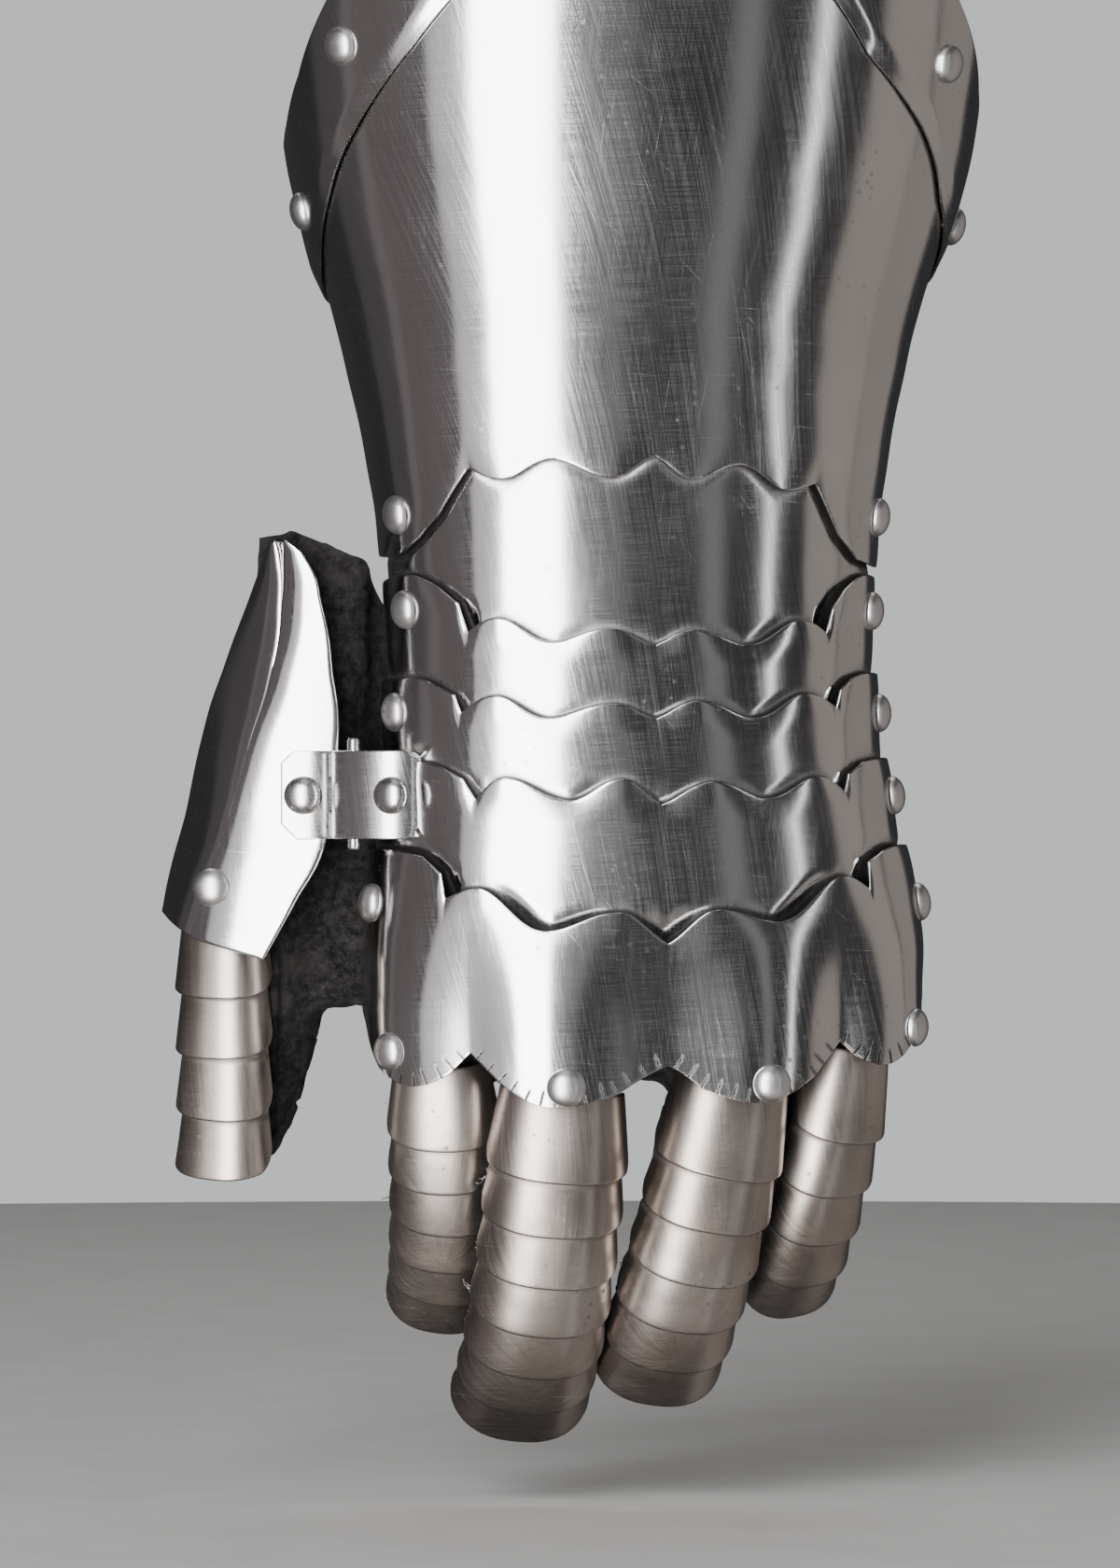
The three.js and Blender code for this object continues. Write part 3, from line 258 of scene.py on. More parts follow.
def edgeDistance(plate, angle, z):
    # how far a place lies from the scalloped edge that is pressed down on the next plate
    edge, way = plate["pressed"][:2]
    near = np.full(np.broadcast(angle, z).shape, edgeReach["farthest"])
    onFlap = smoothstep(np.abs(angle), edgeReach["flapFrom"], edgeReach["flapTo"])
    sideways = plateGrid["sideMm"] * (1 + edgeReach["flapGain"] * onFlap)
    for turn in edgeReach["turns"]:
        for aside in {turn, -turn}:
            gap = np.maximum((edgeAt(edge, angle + aside) - z) * way, 0)
            near = np.minimum(near, np.hypot(gap, aside * sideways))
    return near


def liftAt(plate, angle, z):
    if "lift" in plate:
        return np.full(np.broadcast(angle, z).shape, plate["lift"])
    if "topLine" in plate:
        # a lame is a short cone, raised at its upper edge over the one before
        top, bottom = [edgeAt(plate[key], angle) for key in ("topLine", "bottomLine")]
        hidden = drooping(coveredHeight(plate, angle) - z, plate.get("droopBelow", sizes["droop"]))
        return sizes["layer"] * (z - bottom) / (top - bottom) + hidden
    hidden = edgeAt(plate["coveredAbove"], angle) - plate["leadAbove"]
    sunkAbove = drooping(z - hidden, plate["droopAbove"])
    return sunkAbove + drooping(coveredHeight(plate, angle) - z, plate["droopBelow"])


hammering = {"waves": 6, "around": 0.13, "up": 0.2, "start": 6.3, "depth": 0.07}


def ripple(angle, z, seed):
    # the faint unevenness that hammering leaves, so that reflections waver
    rng = np.random.default_rng(seed)
    total = 0
    for _ in range(hammering["waves"]):
        around = rng.uniform(-hammering["around"], hammering["around"])
        up = rng.uniform(-hammering["up"], hammering["up"])
        start = rng.uniform(0, hammering["start"])
        total = total + np.sin(around * angle + up * z + start) / hammering["waves"]
    return hammering["depth"] * total


def platePoint(name, angle, z):
    plate = plates[name]
    swell = swellAt(plate, angle, z) if "swell" in plate else 0.0
    lift = liftAt(plate, angle, z)
    if name == "cuff_border":
        above = z - edgeAt("borderLower", angle)
        lift = lift - borderBand["drop"] * (1 - smoothstep(above, borderBand["start"], borderBand["bevel"]))
    if "pressed" in plate:
        share = np.clip(1 - edgeDistance(plate, angle, z) / sizes["pressedBand"], 0, 1)
        lift = lift - plate["pressed"][2] * share * share
    lift = lift + ripple(angle, z, len(name))
    return bodyPoint(angle, z, lift, swell)


borderBand = {"start": -0.6, "bevel": 5.2, "drop": 0.75, "edgeSteel": 0.62}
# the mesh of a plate: degrees between columns, their rough width, rows near the rims, and rows between them
plateGrid = {
    "step": 1.0, "sideMm": 0.87, "rimInsets": (0.0, 0.05, 0.14, 0.34, 0.8, 1.5, 2.4, 3.5),
    "borderInsets": (0.0, 0.05, 0.16, 0.42, 1.0, 2.2, 3.4, 4.6, 5.4, 6.2),
    "sideInsets": (0.06, 0.18, 0.45, 1.1), "rows": 30,
    "rowsOf": {"cuff_plate": 60, "cuff_border": 14, "wrist_lame": 50}, "closest": 0.045,
}


def unit(v):
    return v / np.maximum(np.linalg.norm(v, axis=-1, keepdims=True), 1e-9)


def lengthAlong(path):
    return np.concatenate([[0], np.cumsum(np.linalg.norm(np.diff(path, axis=0), axis=1))])


def faceNormal(pointAt, u, v, step=0.3):
    across = pointAt(u + step, v) - pointAt(u - step, v)
    up = pointAt(u, v + step) - pointAt(u, v - step)
    return unit(np.cross(across, up))


# meshes
def gridQuads(first, second):
    # quads of two grids of vertex numbers laid face to face
    quads = []
    for grid, turned in ((first, False), (second, True)):
        a, b, c, d = grid[:-1, :-1], grid[1:, :-1], grid[1:, 1:], grid[:-1, 1:]
        corners = (d, c, b, a) if turned else (a, b, c, d)
        quads.append(np.stack(corners, axis=-1).reshape(-1, 4))
    return np.concatenate(quads)


def sheetFrom(outer, normal, toEdge, thickness, radius, groove=0.0):
    # a sheet with rounded edges behind its outer face, from each point's distance to the nearest edge
    half = np.asarray(thickness / 2)[..., None]
    rounding = np.sqrt(np.maximum(1 - (1 - np.clip(toEdge / radius, 0, 1)) ** 2, 0))[..., None]
    middle = outer - normal * half
    face = middle + normal * half * rounding - normal * np.asarray(groove)[..., None]
    back = middle - normal * half * rounding
    columns, rows = toEdge.shape
    outerGrid = np.arange(columns * rows).reshape(columns, rows)
    innerGrid = outerGrid.copy()
    inside = np.arange((columns - 2) * (rows - 2)).reshape(columns - 2, rows - 2)
    innerGrid[1:-1, 1:-1] = columns * rows + inside
    points = np.concatenate([face.reshape(-1, 3), back[1:-1, 1:-1].reshape(-1, 3)])
    return points, gridQuads(outerGrid, innerGrid)


def sheetSolid(pointAt, u, v, toEdge, thickness, radius, groove=0.0):
    return sheetFrom(pointAt(u, v), faceNormal(pointAt, u, v), toEdge, thickness, radius, groove)


def ringQuads(rings, sides):
    # quads between closed rings of points that follow one another
    quads = []
    for start in range(0, (rings - 1) * sides, sides):
        for i in range(sides):
            n = (i + 1) % sides
            quads.append((start + i, start + n, start + sides + n, start + sides + i))
    return quads


def closedTube(rings, ends=None):
    # closed form through rings of points, each end drawn in to a point, or to the middle of its ring
    rings = np.asarray(rings, float)
    levels, sides = rings.shape[:2]
    faces = ringQuads(levels, sides)
    first, last = levels * sides, levels * sides + 1
    top = first - sides
    for i in range(sides):
        n = (i + 1) % sides
        faces.append((n, i, first))
        faces.append((top + i, top + n, last))
    ends = ends or [rings[0].mean(axis=0), rings[-1].mean(axis=0)]
    return np.concatenate([rings.reshape(-1, 3), ends]), faces


def lathe(profile, segments):
    # closed form turned round Z from (radius, height) pairs whose ends lie on the axis
    turns = np.arange(segments) * 2 * math.pi / segments
    rings = [[(r * math.cos(a), r * math.sin(a), h) for a in turns] for r, h in profile[1:-1]]
    return closedTube(rings, [(0, 0, profile[0][1]), (0, 0, profile[-1][1])])


def tubeAlong(path, radius, sides=6):
    # closed round tube along a path, thinning towards its end
    path = np.asarray(path, float)
    way = unit(np.gradient(path, axis=0))
    slanting = np.array([0.31, 0.52, 0.79])
    side = unit(np.cross(way, slanting))
    up = np.cross(way, side)
    turns = np.arange(sides) * 2 * math.pi / sides
    radii = np.broadcast_to(radius, len(path))
    rings = path[:, None] + radii[:, None, None] * (
        side[:, None] * np.cos(turns)[None, :, None] + up[:, None] * np.sin(turns)[None, :, None])
    points = rings.reshape(-1, 3)
    faces = ringQuads(len(path), sides)
    faces.append(tuple(range(sides))[::-1])
    faces.append(tuple((len(path) - 1) * sides + i for i in range(sides)))
    return points, faces


def joined(parts):
    points, faces, start = [], [], 0
    for somePoints, someFaces in parts:
        points.append(np.asarray(somePoints))
        faces.extend([tuple(int(k) + start for k in face) for face in someFaces])
        start += len(somePoints)
    return np.concatenate(points), faces


def toMesh(name, points, faces, facing=True):
    mesh = bpy.data.meshes.new(name)
    mesh.from_pydata((np.asarray(points) * mm).tolist(), [], [tuple(map(int, face)) for face in faces])
    if facing:
        work = bmesh.new()
        work.from_mesh(mesh)
        bmesh.ops.recalc_face_normals(work, faces=work.faces)
        work.to_mesh(mesh)
        work.free()
    return mesh


def finishPiece(name, mesh, material, replaced, body=None, sharp=40):
    # a mesh becomes a piece of the gauntlet: smooth shaded, with a material, standing for its CAD nodes
    mesh.shade_smooth()
    mesh.set_sharp_from_angle(angle=math.radians(sharp))
    mesh.materials.clear()
    mesh.materials.append(material)
    piece = bpy.data.objects.new(name, mesh)
    bpy.context.scene.collection.objects.link(piece)
    if body:
        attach(piece, body)
    if replaced:
        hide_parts(*replaced)
    return piece


# shader helpers
def addNode(tree, kind, inputs=None, **values):
    node = tree.nodes.new(kind)
    for key, value in values.items():
        setattr(node, key, value)
    for key, value in (inputs or {}).items():
        if isinstance(value, bpy.types.NodeSocket):
            tree.links.new(value, node.inputs[key])
        else:
            node.inputs[key].default_value = value
    return node


def mathNode(tree, operation, first, second=0.0, clamp=False):
    values = {0: first, 1: second}
    return addNode(tree, "ShaderNodeMath", values, operation=operation, use_clamp=clamp).outputs[0]


def times(tree, first, second, clamp=False):
    return mathNode(tree, "MULTIPLY", first, second, clamp)


def markAt(tree, label):
    # a mask that the mesh carries
    return addNode(tree, "ShaderNodeAttribute", attribute_name=label).outputs["Fac"]


def giveBump(tree, shader, height, strength, distance):
    bump = addNode(tree, "ShaderNodeBump", {"Strength": strength, "Distance": distance, "Height": height})
    tree.links.new(bump.outputs[0], shader.inputs["Normal"])


def rampBetween(tree, value, low, high):
    return addNode(tree, "ShaderNodeMapRange", {"Value": value, "From Min": low, "From Max": high},
                   interpolation_type="SMOOTHSTEP").outputs[0]


def stretched(tree, *scale):
    # the place on the object in metres, multiplied by a scale along each axis
    place = addNode(tree, "ShaderNodeTexCoord").outputs["Object"]
    inputs = {"Vector": place, "Scale": [1 / k for k in scale]}
    return addNode(tree, "ShaderNodeMapping", inputs, vector_type="TEXTURE").outputs[0]


def noiseAt(tree, vector, scale=1.0, detail=2.0, roughness=0.5):
    inputs = {"Vector": vector, "Scale": scale, "Detail": detail, "Roughness": roughness}
    return addNode(tree, "ShaderNodeTexNoise", inputs).outputs["Fac"]


def mixColour(tree, amount, first, second):
    node = addNode(tree, "ShaderNodeMix", {"Factor": amount}, data_type="RGBA")
    for socket, value in ((node.inputs[6], first), (node.inputs[7], second)):
        if isinstance(value, bpy.types.NodeSocket):
            tree.links.new(value, socket)
        else:
            socket.default_value = value
    return node.outputs[2]


def shaderGroup(name, inputs, outputs):
    group = bpy.data.node_groups.new(name, "ShaderNodeTree")
    for label, default in inputs.items():
        socket = group.interface.new_socket(label, in_out="INPUT", socket_type="NodeSocketFloat")
        socket.default_value = default
    for label in outputs:
        group.interface.new_socket(label, in_out="OUTPUT", socket_type="NodeSocketFloat")
    return group, group.nodes.new("NodeGroupInput").outputs, group.nodes.new("NodeGroupOutput").inputs


def laidOut(tree, across, up, turn):
    # millimetres round and along a plate, turned by a few degrees, then scaled
    place = addNode(tree, "ShaderNodeAttribute", attribute_name="laid").outputs["Vector"]
    inputs = {"Vector": place, "Rotation": (0, 0, math.radians(turn)), "Scale": (1 / across, 1 / up, 1)}
    return addNode(tree, "ShaderNodeMapping", inputs, vector_type="TEXTURE").outputs[0]


# lines left by polishing: degrees of slant, lines to a millimetre across and along, and their share
polishLines = [(14, 3.4, 0.02, 0.34), (-5, 6.0, 0.05, 0.2), (2, 0.10, 6.0, 0.26), (0, 4.0, 4.0, 0.2)]
# stray scratches: degrees of slant, and how many to a millimetre across and along
scratchLines = [
    (16, 4.6, 0.022), (9, 5.4, 0.035), (22, 5.0, 0.03), (-8, 5.2, 0.04), (48, 4.8, 0.07), (86, 5.0, 0.05),
]


def makeGrain():
    # most of the polish runs steeply up the plate, a few lines lie level
    values = {"Fineness": 1.0, "Haze": 1.0}
    group, given, out = shaderGroup("polishedGrain", values, ["Height", "Tone", "Lines"])
    total = None
    for turn, across, up, weight in polishLines:
        vector = laidOut(group, across, up, turn)
        values = {0: vector, "Scale": given["Fineness"]}
        fine = addNode(group, "ShaderNodeVectorMath", values, operation="SCALE")
        lines = times(group, noiseAt(group, fine.outputs[0], detail=1.5), weight)
        total = lines if total is None else mathNode(group, "ADD", total, lines)
    group.links.new(total, out["Height"])
    group.links.new(rampBetween(group, total, 0.44, 0.60), out["Lines"])
    cloud = noiseAt(group, stretched(group, 26, 26, 30), detail=4)
    hazed = times(group, mathNode(group, "SUBTRACT", cloud, 0.5), given["Haze"])
    lines = mathNode(group, "SUBTRACT", total, 0.5)
    group.links.new(mathNode(group, "ADD", lines, hazed), out["Tone"])
    return group


def makeScratches():
    # long thin scratches lying at several angles, the most of them steep and crowded in patches
    group, given, out = shaderGroup("strayScratches", {"Amount": 0.5}, ["Mask"])
    total = None
    for turn, across, up in scratchLines:
        streak = noiseAt(group, laidOut(group, across, up, turn), detail=0.5)
        low = mathNode(group, "SUBTRACT", 0.82, times(group, given["Amount"], 0.12))
        thin = rampBetween(group, streak, low, mathNode(group, "ADD", low, 0.06))
        total = thin if total is None else mathNode(group, "MAXIMUM", total, thin)
    crowd = rampBetween(group, noiseAt(group, stretched(group, 30, 30, 24), detail=2), 0.36, 0.62)
    group.links.new(times(group, total, crowd), out["Mask"])
    return group


def makeStains():
    # small pits and brown spots, more of them in some places than in others
    group, given, out = shaderGroup("pitsAndStains", {"Amount": 0.5}, ["Pits", "Stain"])
    scattered = {"Vector": stretched(group, 1, 1, 1), "Scale": 420.0, "Randomness": 1.0}
    dots = addNode(group, "ShaderNodeTexVoronoi", scattered)
    patch = rampBetween(group, noiseAt(group, stretched(group, 60, 60, 60), detail=2), 0.52, 0.72)
    near = rampBetween(group, dots.outputs["Distance"], 0.26, 0.10)
    pits = times(group, times(group, near, patch), given["Amount"], clamp=True)
    group.links.new(pits, out["Pits"])
    broad = noiseAt(group, stretched(group, 34, 34, 46), detail=5, roughness=0.62)
    stain = times(group, rampBetween(group, broad, 0.52, 0.78), given["Amount"], clamp=True)
    group.links.new(stain, out["Stain"])
    return group


def makeNap():
    # short matted fibres of suede, with rubbed paler places
    group, given, out = shaderGroup("suedeNap", {"Fineness": 1.0}, ["Height", "Rubbed"])
    hairs = noiseAt(group, stretched(group, 1, 1, 1), times(group, given["Fineness"], 1500), 4, 0.65)
    grain = noiseAt(group, stretched(group, 1, 1, 1), times(group, given["Fineness"], 330), 3, 0.6)
    total = mathNode(group, "ADD", times(group, hairs, 0.45), times(group, grain, 0.55))
    group.links.new(total, out["Height"])
    rubbed = rampBetween(group, noiseAt(group, stretched(group, 1, 1, 1), 55, 4, 0.6), 0.5, 0.74)
    group.links.new(rubbed, out["Rubbed"])
    return group


grainGroup, scratchGroup, stainGroup, napGroup = makeGrain(), makeScratches(), makeStains(), makeNap()
print("shader groups made")


def useGroup(tree, group, inputs=None):
    return addNode(tree, "ShaderNodeGroup", inputs, node_tree=group).outputs


def newMaterial(name, **fixed):
    material = bpy.data.materials.new(name)
    material.use_nodes = True
    tree = material.node_tree
    shader = tree.nodes["Principled BSDF"]
    for label, value in fixed.items():
        shader.inputs[label].default_value = value
    return material, tree, shader


def steelMaterial(name, look):
    material, tree, shader = newMaterial(name, Metallic=1.0)
    grain = useGroup(tree, grainGroup, {"Fineness": look["fineness"], "Haze": look["haze"]})
    scratches = useGroup(tree, scratchGroup, {"Amount": look["scratches"]})["Mask"]
    stains = useGroup(tree, stainGroup, {"Amount": look["stains"]})
    worn, paintedShade = markAt(tree, "worn"), markAt(tree, "paintedShade")
    tone = rampBetween(tree, grain["Tone"], -0.35, 0.35)
    colour = mixColour(tree, tone, look["dark"], look["pale"])
    colour = mixColour(tree, times(tree, stains["Stain"], look["stainStrength"]), colour, look["stainColour"])
    colour = mixColour(tree, times(tree, scratches, 0.3), colour, look["scratchColour"])
    colour = mixColour(tree, times(tree, worn, 0.3), colour, look["wornColour"])
    # painted shade at the seams and in the filed lines, together with the real pits, darkens and dulls the
    # steel
    shadeAndPits = mathNode(tree, "MAXIMUM", paintedShade, times(tree, stains["Pits"], 0.8))
    colour = mixColour(tree, shadeAndPits, colour, look["shadeAndPitColour"])
    tree.links.new(colour, shader.inputs["Base Color"])
    rough = mathNode(tree, "MULTIPLY_ADD", tone, look["roughSpread"])
    rough.node.inputs[2].default_value = look["rough"]
    for mask, amount in ((stains["Stain"], 0.12), (scratches, 0.10), (grain["Lines"], look["lineRough"]),
                         (markAt(tree, "dull"), 0.2), (shadeAndPits, 0.4)):
        rough = mathNode(tree, "ADD", rough, times(tree, mask, amount), clamp=mask is shadeAndPits)
    tree.links.new(rough, shader.inputs["Roughness"])
    height = mathNode(tree, "SUBTRACT", grain["Height"], times(tree, scratches, 0.5))
    height = mathNode(tree, "SUBTRACT", height, times(tree, stains["Pits"], 0.9))
    giveBump(tree, shader, height, look["bump"], 0.00003)
    return material


plateLook = {
    "fineness": 1.0, "haze": 0.7, "scratches": 0.55, "stains": 0.35, "stainStrength": 0.35,
    "dark": (0.56, 0.55, 0.545, 1), "pale": (0.65, 0.645, 0.64, 1), "stainColour": (0.36, 0.30, 0.26, 1),
    "scratchColour": (0.85, 0.84, 0.82, 1), "wornColour": (0.75, 0.74, 0.73, 1),
    "shadeAndPitColour": (0.018, 0.014, 0.012, 1), "rough": 0.115, "roughSpread": 0.05, "lineRough": 0.06,
    "bump": 0.1,
}
# the finger lames' steel is darker and browner than the plates': partly their brown tarnish, partly painted
# shade and warm reflection of the curled lames
tarnishedShadedLameLook = dict(plateLook, haze=1.3, scratches=0.6, stains=0.85, stainStrength=0.6, rough=0.30, bump=0.22,
                dark=(0.30, 0.262, 0.236, 1), pale=(0.47, 0.425, 0.395, 1),
                stainColour=(0.20, 0.145, 0.11, 1))
rivetLook = dict(plateLook, fineness=1.4, haze=0.4, scratches=0.35, stains=0.3, rough=0.33, bump=0.14,
                 dark=(0.52, 0.51, 0.505, 1), pale=(0.66, 0.65, 0.645, 1))
plateSteel = steelMaterial("plate_steel", plateLook)
tarnishedShadedLameSteel = steelMaterial("lame_steel", tarnishedShadedLameLook)
rivetSteel = steelMaterial("rivet_steel", rivetLook)


suedeLook = {
    "fineness": 2.1, "dark": (0.002, 0.0019, 0.0019, 1), "pale": (0.019, 0.018, 0.0175, 1),
    "rubbed": (0.024, 0.0228, 0.022, 1), "worn": (0.030, 0.028, 0.027, 1),
}
threadLook = {"dark": (0.05, 0.046, 0.043, 1), "pale": (0.34, 0.32, 0.30, 1)}


def makeSuede():
    material, tree, shader = newMaterial("suede", Roughness=0.9)
    shader.inputs["Sheen Weight"].default_value = 0.02
    shader.inputs["Sheen Roughness"].default_value = 0.55
    shader.inputs["Specular IOR Level"].default_value = 0.1
    nap = useGroup(tree, napGroup, {"Fineness": suedeLook["fineness"]})
    tufts = rampBetween(tree, nap["Height"], 0.38, 0.66)
    colour = mixColour(tree, tufts, suedeLook["dark"], suedeLook["pale"])
    colour = mixColour(tree, times(tree, nap["Rubbed"], 0.2), colour, suedeLook["rubbed"])
    colour = mixColour(tree, times(tree, markAt(tree, "worn"), 0.5), colour, suedeLook["worn"])
    tree.links.new(colour, shader.inputs["Base Color"])
    tree.links.new(rampBetween(tree, nap["Height"], 1.4, 0.1), shader.inputs["Roughness"])
    giveBump(tree, shader, nap["Height"], 0.8, 0.0005)
    return material


def makeThread():
    material, tree, shader = newMaterial("thread_fibre", Roughness=0.95)
    hairs = noiseAt(tree, stretched(tree, 1, 1, 1), 900, 3, 0.6)
    colour = mixColour(tree, rampBetween(tree, hairs, 0.35, 0.65), threadLook["dark"], threadLook["pale"])
    tree.links.new(colour, shader.inputs["Base Color"])
    giveBump(tree, shader, hairs, 0.5, 0.0001)
    return material


suede, threadFibre = makeSuede(), makeThread()
print("materials made")


def giveLay(mesh, around, up):
    # millimetres round and along the piece, for the lines of the polish
    laid = np.stack([np.ravel(around), np.ravel(up), np.zeros(np.size(up))], axis=-1)
    attribute = mesh.attributes.new("laid", "FLOAT_VECTOR", "POINT")
    attribute.data.foreach_set("vector", laid.astype(np.float32).ravel())


def giveMask(mesh, label, values):
    # one number for the whole mesh, or numbers for its first points and nought for the rest
    filled = np.zeros(len(mesh.vertices), np.float32)
    filled[:np.size(values) if np.ndim(values) else None] = np.ravel(values)
    attribute = mesh.attributes.new(label, "FLOAT", "POINT")
    attribute.data.foreach_set("value", filled)


# soft falloff away from an edge, for real wear, for painted shade beside seams and for shapes
def edgeFalloff(toEdge, width):
    return np.exp(-((toEdge / width) ** 2))


# plates of the cuff and the hand
# filed lines on the knuckle lobes: sizes, the angles between which they lie, how they stray, and how dark
# their painted shade is
filedLines = {
    "spacing": 3.1, "length": 3.6, "width": 0.2, "depth": 0.02, "from": -72, "to": 62, "band": 5.2,
    "first": 1.5, "sideStray": 0.25, "slant": 0.06, "lengths": (0.72, 1.1), "fade": 0.6, "along": 1.2,
    "nearby": 7, "columns": (-88, 78, 0.27), "insets": (0.0, 0.05, 0.16, 0.42), "rows": (0.7, 0.32),
    "dark": 1.9,
}
# edge wear, and painted shade beside the seams: strength and width of each
plateWearAndShade = {"edge": 0.6, "edgeWidth": 0.45, "seamShade": 0.8, "seamWidth": 0.6}


def plateAngles(plate, name):
    low, high = -sizes["thumbFlapAngle"], sizes["flapAngle"]
    if name.startswith("cuff"):
        low, high = -sizes["cuffAngle"], sizes["cuffAngle"]
    step = plateGrid["step"] * (0.75 if name == "wrist_lame" else 1)
    angles = list(np.arange(low, high, step)) + [high]
    for key in ("upper", "lower"):
        for row in scallops.get(plate[key], ()):
            angles += [-row[0], row[1]]
    if name == "knuckle_plate":
        angles += list(np.arange(*filedLines["columns"]))
    for inset in plateGrid["sideInsets"]:
        angles += [low + inset, high - inset]
    angles = np.array(sorted(set(a for a in angles if low <= a <= high)))
    keep = [0]
    for k in range(1, len(angles)):
        if angles[k] - angles[keep[-1]] > plateGrid["closest"]:
            keep.append(k)
    keep[-1] = len(angles) - 1
    return angles[keep]


def plateRows(name, low, high):
    insets = plateGrid["rimInsets"]
    if name == "knuckle_plate":
        first, apart = filedLines["rows"]
        insets = [*filedLines["insets"], *np.arange(first, filedLines["band"], apart)]
    if name == "cuff_border":
        insets = plateGrid["borderInsets"]
    top = plateGrid["rimInsets"][::-1]
    count = plateGrid["rowsOf"].get(name, plateGrid["rows"])
    span = high - low
    start, end = insets[-1], top[0]
    middle = start + (span - start - end) * np.arange(1, count)[:, None] / count
    lower = np.array(insets)[:, None] + np.zeros_like(span)[None]
    upper = span[None] - np.array(top)[:, None]
    rows = np.concatenate([lower, middle, upper]).T
    return low[:, None] + rows


def filedGroove(z, outer):
    # short lines filed across the edge of each knuckle lobe
    edgeAngles = np.arange(filedLines["from"], filedLines["to"], 0.1)
    edgeZ = edgeAt("knuckleLower", edgeAngles)
    pointAt = lambda a, b: platePoint("knuckle_plate", a, b)
    path = pointAt(edgeAngles, edgeZ)
    length = lengthAlong(path)
    depth = np.zeros(z.shape)
    rng = np.random.default_rng(5)
    for at in np.arange(filedLines["first"], length[-1], filedLines["spacing"]):
        at = at + rng.uniform(-filedLines["sideStray"], filedLines["sideStray"])
        before, here, after = [np.array([np.interp(at + aside, length, path[:, k]) for k in range(3)])
                               for aside in (-filedLines["along"], 0, filedLines["along"])]
        edgeWay = unit(after - before)
        angle = np.interp(at, length, edgeAngles)
        out = faceNormal(pointAt, np.array(angle), np.array(here[2] + 1))
        inward = unit(np.cross(out, edgeWay))
        inward = inward if inward[2] > 0 else -inward
        away = outer - here
        up = away @ inward
        across = away @ edgeWay + rng.uniform(-filedLines["slant"], filedLines["slant"]) * up
        reach = filedLines["length"] * rng.uniform(*filedLines["lengths"])
        shape = np.exp(-(across / filedLines["width"]) ** 2)
        shape = shape * (1 - smoothstep(up, reach * filedLines["fade"], reach))
        near = np.linalg.norm(away, axis=-1) < filedLines["nearby"]
        depth = np.maximum(depth, shape * (np.abs(across) < filedLines["along"]) * (up > -1) * near)
    return depth


def makePlate(name):
    plate = plates[name]
    angles = plateAngles(plate, name)
    low, high = edgeAt(plate["lower"], angles), edgeAt(plate["upper"], angles)
    z = plateRows(name, low, high)
    u = np.repeat(angles[:, None], z.shape[1], axis=1)
    toRim = np.minimum(z - low[:, None], high[:, None] - z)
    toSide = np.minimum(angles - angles[0], angles[-1] - angles)[:, None] * plateGrid["sideMm"]
    toEdge = np.minimum(toRim, toSide)
    pointAt = lambda a, b: platePoint(name, a, b)
    thickness, filed = sizes["steel"], np.zeros(z.shape)
    if name == "cuff_border":
        rise = smoothstep(z - low[:, None], 0.0, borderBand["bevel"])
        thickness = borderBand["edgeSteel"] + (sizes["steel"] - borderBand["edgeSteel"]) * rise
    if "pressed" in plate:
        inside = smoothstep(edgeDistance(plate, u, z), 0, sizes["edgeBand"])
        thickness = sizes["edgeSteel"] + (sizes["steel"] - sizes["edgeSteel"]) * inside
    if name == "knuckle_plate":
        filed = filedGroove(z, pointAt(u, z))
    groove = filed * filedLines["depth"]
    points, faces = sheetSolid(pointAt, u, z, toEdge, thickness, sizes["edgeRadius"], groove)
    onPlate = len(points)
    if name == "knuckle_plate":
        heads = [placed(rivetHead(), name, angle, height, -0.3) for angle, height in lobeRivets]
        points, faces = joined([(points, faces)] + heads)
    mesh = toMesh(name, points, faces)
    giveMask(mesh, "worn", plateWearAndShade["edge"] * edgeFalloff(toEdge, plateWearAndShade["edgeWidth"]))
    # painted shade in the filed lines and beside the seams
    giveMask(mesh, "paintedShade", np.maximum(np.minimum(filed * filedLines["dark"], 1), paintedSeamShade(plate, u, z)))
    giveMask(mesh, "dull", np.arange(len(points)) >= onPlate)
    turned = np.degrees(np.arctan2(points[:, 0], -points[:, 1]))
    giveLay(mesh, turned * plateGrid["sideMm"] + 40 * len(name), points[:, 2])
    return finishPiece(name, mesh, plateSteel, [name], plate["body"])


def paintedSeamShade(plate, u, z):
    # soft painted shade where another plate's edge lies on this one
    total = np.zeros(z.shape)
    for key, way in (("seam", 1), ("coveredAbove", -1)):
        if key in plate:
            past = np.maximum((z - edgeAt(plate[key], u)) * way, 0)
            total = np.maximum(total, np.exp(-past / plateWearAndShade["seamWidth"]))
    return plateWearAndShade["seamShade"] * total


# rivets
rivetSizes = {
    "head": 3.75, "rise": 2.6, "lip": 0.18, "undercut": 0.14, "shank": 1.45, "tail": 2.4, "tailHeight": 0.8,
    "tailBevel": 0.35, "reach": 0.7, "seat": 0.12, "segments": 48,
}
# plate, height and angle of the rivets that the lames turn on
pivotRivets = [
    ("cuff_plate", 8.1, 71), ("hand_lame_1", -10.1, 71), ("hand_lame_2", -29.8, 76),
    ("hand_lame_3", -45.8, 75), ("knuckle_plate", -66.5, 79),
]
borderRivets = [
    ("border_rivet_1", -88, 67), ("border_rivet_2", -58, 96), ("border_rivet_3", 50, 93.5),
    ("border_rivet_4", 84, 65),
]
lobeRivets = [(-65, -94.9), (-16, -101.4), (16, -100.8), (61, -90.6)]


def domeProfile():
    head, rise, lip = rivetSizes["head"], rivetSizes["rise"], rivetSizes["lip"]
    dome = [(head * math.cos(t), lip + (rise - lip) * math.sin(t)) for t in np.linspace(0, 1.5, 18)]
    return [(head - rivetSizes["undercut"], 0.0)] + dome + [(0, rise)]


def rivetHead():
    return lathe([(0, 0.0)] + domeProfile(), rivetSizes["segments"])


